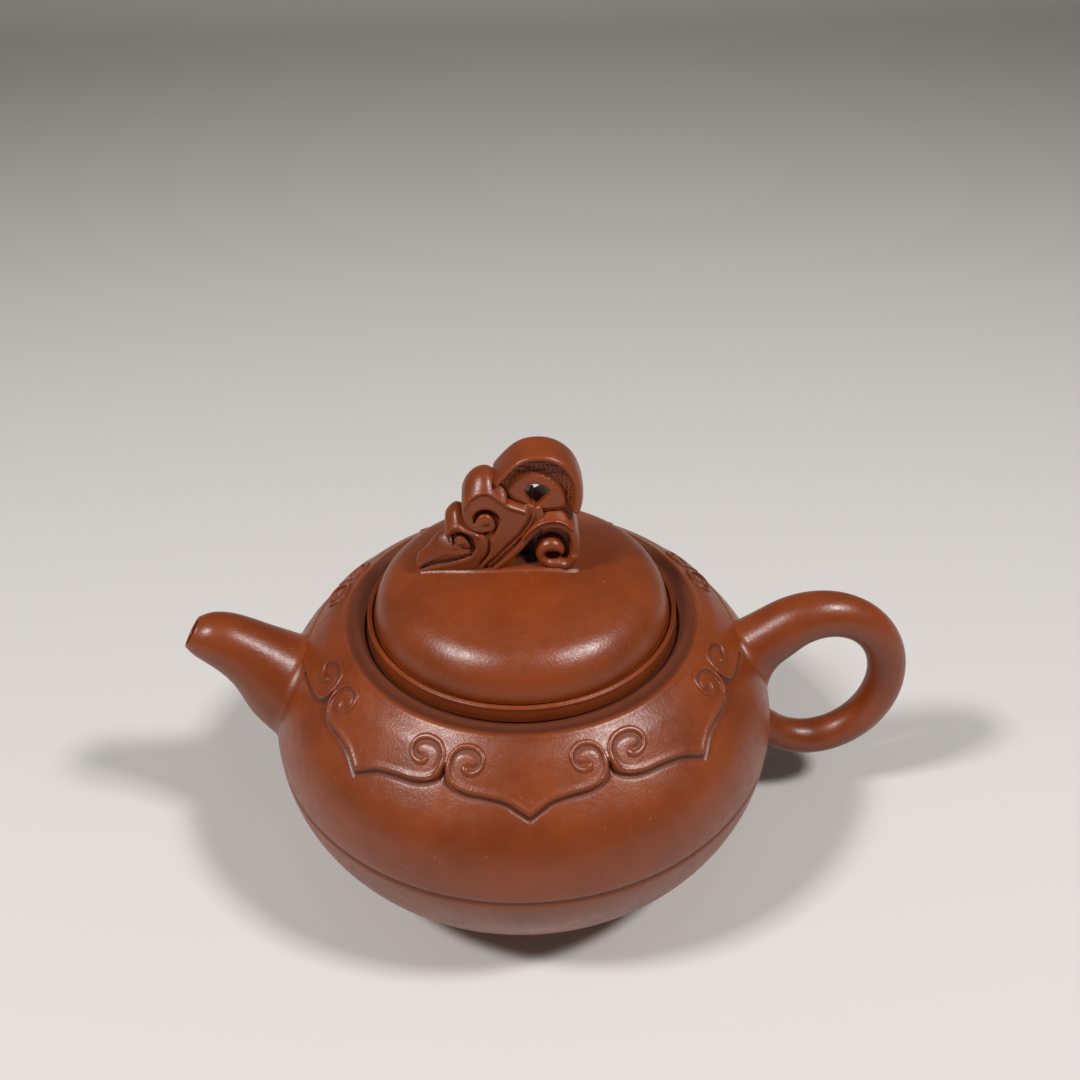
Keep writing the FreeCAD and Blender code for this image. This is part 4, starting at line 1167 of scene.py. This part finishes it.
# Raised lips along the front edges: x, z, half width, and how far they stand before the face
LARGE_LIP = [(-12.6, 16.4, 0.3, -0.1), (-11.7, 18.2, 0.5, 0.1), (-10.9, 19.1, 0.55, 0.15),
             (-9.6, 20.0, 0.55, 0.15), (-8.1, 20.4, 0.55, 0.15), (-6.5, 20.1, 0.55, 0.15),
             (-4.4, 18.4, 0.55, 0.12), (-2.9, 17.0, 0.5, 0.05)]
SMALL_LIP = [(-16.9, 8.6, 0.3, -0.1), (-16.4, 9.7, 0.5, 0.1), (-15.5, 10.7, 0.5, 0.15),
             (-14.3, 11.1, 0.5, 0.15), (-12.8, 10.3, 0.5, 0.12), (-11.0, 9.6, 0.45, 0.05),
             (-9.7, 8.9, 0.4, 0.0)]
LEAF_LIP = [(-3.6, 17.5, 0.4, 0.0), (-2.8, 16.9, 0.5, 0.1), (-1.4, 16.2, 0.5, 0.1),
            (-0.2, 15.7, 0.5, 0.1), (1.2, 15.1, 0.45, 0.0)]
VOLUTE_LIP = [(0.4, 8.2, 0.3, -0.05), (2.2, 10.4, 0.4, 0.1), (3.9, 11.8, 0.45, 0.15),
              (5.7, 12.6, 0.45, 0.15), (8.0, 12.8, 0.45, 0.15), (10.2, 12.0, 0.4, 0.1),
              (11.8, 10.4, 0.3, 0.0)]
# Outlines of the broad leaf and of the clay behind it
LEAF_FACE = [(-6.6, 20.2), (-4.4, 18.6), (-2.8, 17.2), (-0.4, 16.1), (1.2, 15.5), (2.0, 14.6),
             (2.0, 13.5), (0.9, 11.2), (-1.0, 8.6), (-3.3, 6.2), (-5.2, 4.0), (-6.7, 2.4), (-8.4, 0.6),
             (-9.6, -0.8), (-10.2, -0.6), (-9.0, 1.4), (-7.4, 3.8), (-6.9, 6.3), (-7.0, 8.0),
             (-5.9, 9.5), (-5.0, 11.4), (-4.6, 13.6), (-5.2, 17.0)]
STRAND_BACK = [(-9.6, 4.0), (-8.6, 8.6), (-5.6, 10.0), (-2.0, 14.0), (1.6, 16.4), (4.6, 16.0),
               (5.4, 12.0), (3.0, 9.8), (0.8, 7.0), (-1.5, 4.0), (-4.5, 1.0), (-6.6, -0.9),
               (-10.4, -0.9)]
# Strands: x, z, half width, and how far the front stands before the knob's face
FINE_STRAND = [(-7.6, 0.6, 0.4, -0.1), (-4.7, 3.8, 0.42, -0.1), (-2.4, 6.1, 0.42, -0.1),
               (0.0, 8.6, 0.42, -0.1), (2.0, 11.4, 0.45, -0.2), (2.95, 13.5, 0.48, -0.3),
               (3.1, 15.8, 0.5, -0.6)]
VOLUTE_ARM = [(-6.6, -0.8, 0.8, 0.0), (-3.4, 2.2, 1.0, 0.0), (-0.6, 5.2, 1.1, 0.0),
              (1.6, 8.2, 1.15, 0.0), (3.6, 10.4, 1.2, 0.05), (5.6, 11.5, 1.25, 0.1),
              (8.0, 11.7, 1.3, 0.1), (10.4, 10.7, 1.2, 0.1), (12.0, 8.4, 1.15, 0.1),
              (12.6, 5.4, 1.15, 0.1), (12.2, 2.4, 1.25, 0.1), (10.8, 0.4, 1.4, 0.0)]
VOLUTE_COIL = [(12.3, 2.6, 1.0, 0.0), (10.8, 0.4, 1.5, 0.1), (8.4, 0.3, 1.95, 0.15),
               (6.0, 0.8, 1.7, 0.15), (4.6, 2.6, 1.4, 0.15), (4.9, 4.4, 1.6, 0.2),
               (6.2, 5.4, 2.1, 0.25), (7.7, 5.45, 2.1, 0.3), (9.0, 4.6, 1.5, 0.15),
               (9.4, 3.8, 1.0, 0.0)]
HOOD = [(-5.0, 22.2, 0.8, 0.0), (-3.6, 23.8, 0.95, 0.0), (-2.1, 25.5, 0.95, 0.0),
        (-0.2, 27.1, 1.0, 0.0), (1.9, 28.05, 1.05, 0.0), (4.8, 28.3, 1.1, 0.0), (7.4, 27.75, 1.15, 0.0),
        (9.9, 26.2, 1.2, 0.0), (11.8, 23.9, 1.25, 0.0), (13.0, 20.6, 1.3, 0.0), (13.2, 17.2, 1.35, 0.0),
        (12.8, 14.6, 1.25, 0.0)]
# Outlines of the volute's shelf and sunk floor
VOLUTE_SHELF = [(3.7, 11.2), (5.6, 12.5), (8.0, 12.9), (10.6, 12.0), (12.6, 9.4), (11.0, 8.8),
                (8.0, 10.2), (5.2, 9.8)]
VOLUTE_FLOOR = [(4.2, 2.0), (4.4, 6.0), (5.6, 9.6), (8.6, 10.6), (11.4, 8.6), (12.2, 4.0), (11.0, 0.6),
                (8.0, -0.5), (5.4, 0.2)]
# Outlines of the hood's sunk floor, its mound and the eye that pierces it
HOOD_FLOOR = [(-4.2, 21.6), (-2.4, 24.9), (0.2, 26.9), (4.7, 27.8), (9.3, 25.8), (12.2, 21.5),
              (12.6, 16.5), (12.0, 13.2), (6.2, 12.8), (4.0, 13.4), (2.6, 15.0), (0.5, 16.5),
              (-2.5, 18.0)]
HOOD_MOUND = [(-1.5, 22.3), (-0.4, 23.3), (1.2, 24.1), (2.9, 24.2), (5.2, 23.4), (7.4, 22.0),
              (9.2, 20.3), (10.1, 18.4), (10.4, 16.0), (9.4, 14.8), (6.2, 14.4), (4.2, 14.8),
              (1.5, 15.8), (-1.5, 17.6), (-2.8, 20.0)]
HOOD_EYE = [(1.3, 19.8), (2.0, 21.0), (3.8, 21.3), (5.8, 20.4), (6.7, 19.3), (6.0, 17.8), (4.4, 16.0),
            (3.3, 15.5), (2.4, 16.8), (1.5, 18.5)]
# Outlines of the tail, of the clay behind it and of its foot on the dome
TAIL_FACE = [(-24.5, -2.2), (-23.9, -1.1), (-21.9, 0.5), (-19.6, 2.7), (-17.2, 4.0), (-15.3, 4.2),
             (-13.4, 4.1), (-11.8, 4.4), (-11.8, 3.8), (-13.4, 2.9), (-15.4, 1.9), (-17.6, 0.9),
             (-20.6, -0.2), (-23.1, -1.9), (-24.1, -2.8)]
TAIL_BACK = [(-24.0, -2.2), (-22.5, -0.3), (-21.0, 1.1), (-17.0, 3.3), (-12.0, 4.2), (-9.5, 3.0),
             (-9.5, -1.5), (-14.0, -1.8), (-20.0, -3.2), (-23.6, -4.6)]
TAIL_FOOT = [(-24.3, -3.3), (-23.1, -2.5), (-20.5, -1.3), (-16.5, 0.5), (-13.3, 2.1), (-11.3, 3.2),
             (-10.0, 3.2), (-10.0, -2.0), (-13.4, -2.6), (-16.7, -3.2), (-20.0, -4.2), (-23.2, -5.2),
             (-24.3, -5.4)]
# Least half depth of a carved form
LEAST_DEEP = 0.3
# The knob's foot: rounding of its edge, softness of its joint, and how deep its run-out lies in the dome
PAD_ROUND = 0.4
PAD_SOFT = 0.9
PAD_SUNK = 0.07
# Depth of the foot's underside below the dome, and how far the run-out reaches
PAD_DEPTH = 1.2
PAD_REACH = 1.6
# Shaded patch under the openwork: its middle in x, and its half sizes in x and y
SHADE_X = 1.4
SHADE_HALF = (3.2, 5.6)


def cells_round(low, high, fineness):
    """Grid of x, y and z over a box, its plan points, and the half depth of the knob over them."""
    scene = bpy.context.scene
    knob = measures(scene.teapot_knob)
    step = knob.grain * fineness
    axes = [np.arange(first, last + step, step) for first, last in zip(low, high)]
    across, up = np.meshgrid(axes[0], axes[2], indexing="ij")
    foot = np.interp(across, *np.transpose(KNOB_FACE))
    face = np.minimum(foot, KNOB_FACE[-1][1] - knob.thinning * np.maximum(up, 0))
    return SimpleNamespace(axes=axes, shape=across.shape, flat=np.stack([across.ravel(), up.ravel()], -1),
                           across=across[:, None, :], up=up[:, None, :], face=face[:, None, :],
                           deep=np.abs(axes[1])[None, :, None], low=np.array(low), step=step,
                           knob=knob, lid=measures(scene.teapot_lid))


def melted(first, second, soft=0.3):
    """Two forms joined with a soft crease."""
    part = np.clip(0.5 + 0.5 * (second - first) / soft, 0, 1)
    return second * (1 - part) + first * part - soft * part * (1 - part)


def shared(first, second, edge_round):
    """What two forms have in common, with a rounded edge."""
    one, two = first + edge_round, second + edge_round
    outside = np.hypot(np.maximum(one, 0), np.maximum(two, 0))
    return outside + np.minimum(np.maximum(one, two), 0) - edge_round


def strand(cells, line, roundness=2.2):
    """How far cells are outside a strand that follows a line, less than nothing inside it."""
    curve = smooth_line(line, 180)
    far, place = nearest(cells.flat, curve[:, :2])
    spots = np.arange(len(curve))
    wide = np.interp(place, spots, curve[:, 2]).reshape(cells.shape)[:, None, :]
    before = np.interp(place, spots, curve[:, 3]).reshape(cells.shape)[:, None, :]
    deep = np.maximum(cells.face + before, LEAST_DEEP)
    across = far.reshape(cells.shape)[:, None, :] / wide
    size = (across ** roundness + (cells.deep / deep) ** roundness) ** (1 / roundness)
    return (size - 1) * np.minimum(wide, deep)


def outline_gap(cells, corners):
    """Distance outside a closed plan line, less than nothing inside it."""
    ring = smooth_line(corners + corners[:1], 160)
    far = nearest(cells.flat, ring)[0]
    x, z = cells.flat.T
    odd = np.zeros(len(x), bool)
    for (x0, z0), (x1, z1) in zip(ring[:-1], ring[1:]):
        if z0 != z1:
            odd ^= ((z0 > z) != (z1 > z)) & (x < (x1 - x0) * (z - z0) / (z1 - z0) + x0)
    return np.where(odd, -far, far).reshape(cells.shape)


def mass(cells, corners, set_back=0.0, crown=0.0, edge_round=0.3):
    """A solid behind a front outline, whose top rises by its crown towards the middle of the knob."""
    gap = outline_gap(cells, corners)
    deep = np.maximum(cells.face - set_back, LEAST_DEEP)
    rise = np.minimum(crown, deep) * np.clip(1 - (cells.deep / deep) ** 2, 0, 1)
    level = np.clip((cells.axes[2] - cells.low[2] - rise) / cells.step, 0, cells.shape[1] - 1.001)
    row = level.astype(int)
    column = np.arange(cells.shape[0])[:, None, None]
    raised = gap[column, row] + (gap[column, row + 1] - gap[column, row]) * (level - row)
    return shared(raised, cells.deep - deep, edge_round)


def grooved(cells, form, line):
    """A form with a groove cut along a line into both of its faces."""
    curve = smooth_line(line, 120)
    far, place = nearest(cells.flat, curve[:, :2])
    wide = np.interp(place, np.arange(len(curve)), curve[:, 2])
    side = (far - wide).reshape(cells.shape)[:, None, :]
    cut = shared(side, cells.face - cells.knob.groove - cells.deep, edge_round=0.3)
    return -melted(-form, cut, soft=0.35)


def ball(cells, x, z, radius, before):
    """Ball in the eye of a curl on both faces."""
    out = cells.deep - (cells.face - radius + before)
    return np.sqrt((cells.across - x) ** 2 + (cells.up - z) ** 2 + out ** 2) - radius


def pitted(cells, spacing, width, depth):
    """Depth of small pits pressed in staggered, slightly uneven rows over the plan."""
    low, high = cells.flat.min(0), cells.flat.max(0)
    number, row = np.meshgrid(np.arange(int((high[0] - low[0]) / spacing) + 1),
                              np.arange(int((high[1] - low[1]) / spacing) + 1))
    x = low[0] + spacing * (number + 0.5 * (row % 2) + 0.2 * np.sin(7.1 * number + 3.3 * row))
    z = low[1] + spacing * (row + 0.2 * np.sin(5.3 * number + 8.9 * row))
    near = np.full(len(cells.flat), np.inf)
    for spot in zip(x.ravel(), z.ravel()):
        near = np.minimum(near, ((cells.flat - spot) ** 2).sum(-1))
    return depth * np.exp(-near / width ** 2).reshape(cells.shape)[:, None, :]


def skin_points(cells, field):
    """A point in each cell that the skin crosses, and the number of each cell's point."""
    size = np.array(field.shape) - 1

    def part(offset):
        return field[tuple(slice(at, at + length) for at, length in zip(offset, size))]

    total, number = np.zeros((*size, 3)), np.zeros(size)
    for axis in range(3):
        sides = [other for other in range(3) if other != axis]
        for first, second in ((0, 0), (0, 1), (1, 0), (1, 1)):
            offset = np.zeros(3, int)
            offset[sides] = first, second
            further = offset.copy()
            further[axis] = 1
            here, there = part(offset), part(further)
            crossed = (here < 0) != (there < 0)
            total[..., axis] += np.where(crossed, here / np.where(crossed, here - there, 1), 0)
            total[..., sides[0]] += crossed * first
            total[..., sides[1]] += crossed * second
            number += crossed
    used = number > 0
    index = np.full(tuple(size), -1)
    index[used] = np.arange(used.sum())
    return (np.argwhere(used) + total[used] / number[used][:, None]) * cells.step + cells.low, index


def skin_quads(field, index):
    """A quad round each edge of the grid that the skin crosses."""
    inside = field < 0
    quads = []
    for axis, side, other in ((0, 1, 2), (1, 2, 0), (2, 0, 1)):
        inner = [slice(1, -1)] * 3
        inner[axis] = slice(0, -1)
        ahead = list(inner)
        ahead[axis] = slice(1, None)
        here, there = inside[tuple(inner)], inside[tuple(ahead)]
        for rising in (True, False):
            spots = np.argwhere((here != there) & (here == rising))
            spots[:, [side, other]] += 1
            ring = []
            for down_side, down_other in ((0, 0), (1, 0), (1, 1), (0, 1)):
                cell = spots.copy()
                cell[:, side] -= down_side
                cell[:, other] -= down_other
                ring.append(index[tuple(cell.T)])
            quads.append(np.stack(ring if rising else ring[::-1], -1))
    return np.vstack(quads)


def knob_piece(name, node, low, high, form, fineness=1.0, painted_shade=None):
    """A knob piece from a form over a box of cells, with painted shade given by a function of its points.
    """
    cells = cells_round(low, high, fineness)
    field = form(cells)
    points, index = skin_points(cells, field)
    faces = skin_quads(field, index)
    points = eased(points, faces, 3)
    placed = points + (0, 0, cells.lid.dome_top)
    shade = painted_shade(points) if painted_shade else None
    # Painted shade darkens the knob's creases and broad hollows, and wherever the given function puts it
    add_piece(name, placed, faces, "lid", [node], painted_shade=shade, crease=80, rounds=14)


def over_dome(cells):
    """Height of cells above the dome."""
    radius = np.hypot(cells.axes[0][:, None], cells.axes[1][None])
    return cells.axes[2][None, None, :] - (dome_height(cells.lid, radius) - cells.lid.dome_top)[:, :, None]


def pad_form(cells):
    """Foot of the knob, run out over the dome, with the vent through it."""
    lid = cells.lid
    outline = smooth_line(PAD, 200)
    x = cells.axes[0]
    deep = np.interp(x, outline[:, 0], outline[:, 1], left=0.2, right=0.2)[:, None, None]
    top = np.interp(x, outline[:, 0], outline[:, 2])[:, None, None]
    ends = np.maximum(outline[0, 0] - x, x - outline[-1, 0])[:, None, None]
    block = shared(np.maximum(cells.deep - deep, ends), cells.axes[2] - top, PAD_ROUND)
    dome = over_dome(cells)
    merged = melted(block, dome + PAD_SUNK, PAD_SOFT)
    vent = lid.vent - np.hypot(x - lid.vent_x, cells.axes[1][:, None]).T[:, :, None]
    return np.maximum(np.maximum(merged, vent), np.maximum(-(dome + PAD_DEPTH), block - PAD_REACH))


def pad_painted_shade(points):
    """Shade on the foot under the openwork."""
    across = np.clip(SHADE_HALF[0] - np.abs(points[:, 0] - SHADE_X), 0, 1)
    return across * np.clip(SHADE_HALF[1] - np.abs(points[:, 1]), 0, 1)


def large_curl(cells):
    """The upper curl on the left, with its neck."""
    knob = cells.knob
    body = mass(cells, LARGE_FACE, crown=knob.crown, edge_round=knob.edge_round)
    body = grooved(cells, body, LARGE_GROOVE)
    body = melted(body, mass(cells, LARGE_NECK, set_back=1.6, crown=knob.crown))
    body = melted(body, strand(cells, LARGE_LIP), soft=0.5)
    return melted(body, ball(cells, *LARGE_BALL))


def small_curl(cells):
    """The lower curl on the left."""
    knob = cells.knob
    body = mass(cells, SMALL_FACE, crown=knob.crown, edge_round=knob.edge_round)
    body = grooved(cells, body, SMALL_GROOVE)
    body = melted(body, strand(cells, SMALL_LIP), soft=0.5)
    return melted(body, ball(cells, *SMALL_BALL))


def volute_form(cells):
    """Arm and coil of the volute, with a shelf under the arm and a sunk floor."""
    arm = strand(cells, VOLUTE_ARM, roundness=5.0)
    coil = strand(cells, VOLUTE_COIL, cells.knob.hood_roundness)
    shelf = mass(cells, VOLUTE_SHELF, set_back=0.1, crown=1.9, edge_round=0.5)
    floor = mass(cells, VOLUTE_FLOOR, set_back=3.0)
    band = melted(melted(arm, coil, soft=0.5), strand(cells, VOLUTE_LIP), soft=0.4)
    return melted(melted(band, shelf), floor)


def strands_form(cells):
    """Broad leaf and fine strand, cut away round the hood's eye."""
    leaf = mass(cells, LEAF_FACE, crown=1.0, edge_round=cells.knob.edge_round)
    fine = strand(cells, FINE_STRAND, cells.knob.roundness)
    back = mass(cells, STRAND_BACK, set_back=0.9)
    leaf = melted(leaf, strand(cells, LEAF_LIP), soft=0.5)
    eye = outline_gap(cells, HOOD_EYE)[:, None, :]
    return melted(shared(melted(leaf, back, soft=0.2), -eye, edge_round=0.8), fine, soft=0.2)


def hood_form(cells):
    """Arch of the hood over a stippled floor and a mound, pierced by the eye."""
    arch = strand(cells, HOOD, cells.knob.hood_roundness)
    pits = pitted(cells, spacing=0.95, width=0.3, depth=0.3)
    floor = mass(cells, HOOD_FLOOR, set_back=2.3 + pits, edge_round=0.4)
    mound = mass(cells, HOOD_MOUND, set_back=1.3, edge_round=1.1)
    eye = outline_gap(cells, HOOD_EYE)[:, None, :]
    inner = shared(melted(floor, mound, soft=1.4), -eye, edge_round=0.5)
    return melted(arch, inner, soft=0.4)


def tail_form(cells):
    """Leaf of the tail, the leaf of its foot, and the clay behind them."""
    leaf = mass(cells, TAIL_FACE, crown=3.4, edge_round=0.5)
    foot = mass(cells, TAIL_FOOT, set_back=0.1, crown=0.5, edge_round=0.35)
    back = mass(cells, TAIL_BACK, set_back=0.9, crown=3.4)
    return melted(melted(leaf, foot, soft=0.2), back, soft=0.2)


class TEAPOT_OT_pad(bpy.types.Operator):
    """Foot of the knob, smoothed onto the dome, with the vent through it."""
    bl_idname = "teapot.pad"
    bl_label = "Build the Knob's Foot"

    def execute(self, context):
        knob_piece("cloud_pad", "knob_root", (-27, -10.5, -8), (17, 10.5, 2.2), pad_form, painted_shade=pad_painted_shade)
        return {"FINISHED"}


class TEAPOT_OT_curls(bpy.types.Operator):
    """The large and the small curl: crowned solids with a rolled groove and a ball in the eye."""
    bl_idname = "teapot.curls"
    bl_label = "Build the Curls"

    def execute(self, context):
        knob_piece("cloud_large_curl", "knob_curl_large", (-15.5, -7.4, 4.5), (-0.5, 7.4, 26.5),
                   large_curl)
        knob_piece("cloud_small_curl", "knob_curl_small", (-19.5, -7.4, -3.5), (-5.0, 7.4, 17.0),
                   small_curl)
        return {"FINISHED"}


class TEAPOT_OT_volute(bpy.types.Operator):
    """The right volute: an arm that rises from the foot and rolls in on itself over a sunk floor."""
    bl_idname = "teapot.volute"
    bl_label = "Build the Volute"

    def execute(self, context):
        knob_piece("cloud_volute", "knob_volute", (-9.0, -7.8, -3.5), (16.0, 7.8, 17.5), volute_form)
        return {"FINISHED"}


class TEAPOT_OT_strands(bpy.types.Operator):
    """The broad leaf and the fine strand that rise from the foot to the hood."""
    bl_idname = "teapot.strands"
    bl_label = "Build the Strands"

    def execute(self, context):
        knob_piece("cloud_strands", "knob_stem", (-12.5, -7.6, -3.5), (7.5, 7.6, 26.0), strands_form)
        return {"FINISHED"}


class TEAPOT_OT_hood(bpy.types.Operator):
    """Hood that arches over a stippled hollow face with a mound, pierced by an eye."""
    bl_idname = "teapot.hood"
    bl_label = "Build the Hood"

    def execute(self, context):
        knob_piece("cloud_hood", "knob_hood", (-7.0, -6.6, 8.5), (17.0, 6.6, 31.5), hood_form, fineness=0.7)
        return {"FINISHED"}


class TEAPOT_OT_tail(bpy.types.Operator):
    """Leaf-shaped tail that runs down onto the dome over a thin foot leaf."""
    bl_idname = "teapot.tail"
    bl_label = "Build the Tail"

    def execute(self, context):
        knob_piece("cloud_tail", "knob_tail", (-27.0, -7.0, -6.5), (-7.5, 7.0, 9.5), tail_form)
        return {"FINISHED"}


# Panel and main

# The building steps in their order
OPERATORS = [TEAPOT_OT_stage, TEAPOT_OT_belly, TEAPOT_OT_foot, TEAPOT_OT_mouth, TEAPOT_OT_collar,
             TEAPOT_OT_scrolls, TEAPOT_OT_spout, TEAPOT_OT_handle, TEAPOT_OT_lid, TEAPOT_OT_pad,
             TEAPOT_OT_curls, TEAPOT_OT_volute, TEAPOT_OT_strands, TEAPOT_OT_hood, TEAPOT_OT_tail]


class TEAPOT_PT_pieces(bpy.types.Panel):
    """Lists the teapot's building steps."""
    bl_label = "Teapot"
    bl_idname = "TEAPOT_PT_pieces"
    bl_space_type = "VIEW_3D"
    bl_region_type = "UI"
    bl_category = "Teapot"

    def draw(self, context):
        for operator in OPERATORS:
            self.layout.operator(operator.bl_idname)


CLASSES = [*GROUPS.values(), *OPERATORS, TEAPOT_PT_pieces]


def register():
    """Makes the classes known, and hangs each group on the scene."""
    for item in CLASSES:
        bpy.utils.register_class(item)
    for name, group in GROUPS.items():
        setattr(bpy.types.Scene, name, PointerProperty(type=group))


def unregister():
    """Takes the groups off the scene, and the classes away."""
    for name in GROUPS:
        delattr(bpy.types.Scene, name)
    for item in reversed(CLASSES):
        bpy.utils.unregister_class(item)


def main():
    """Builds the teapot step by step."""
    register()
    for operator in OPERATORS:
        getattr(bpy.ops.teapot, operator.bl_idname.split(".")[1])()


if __name__ == "__main__":
    main()
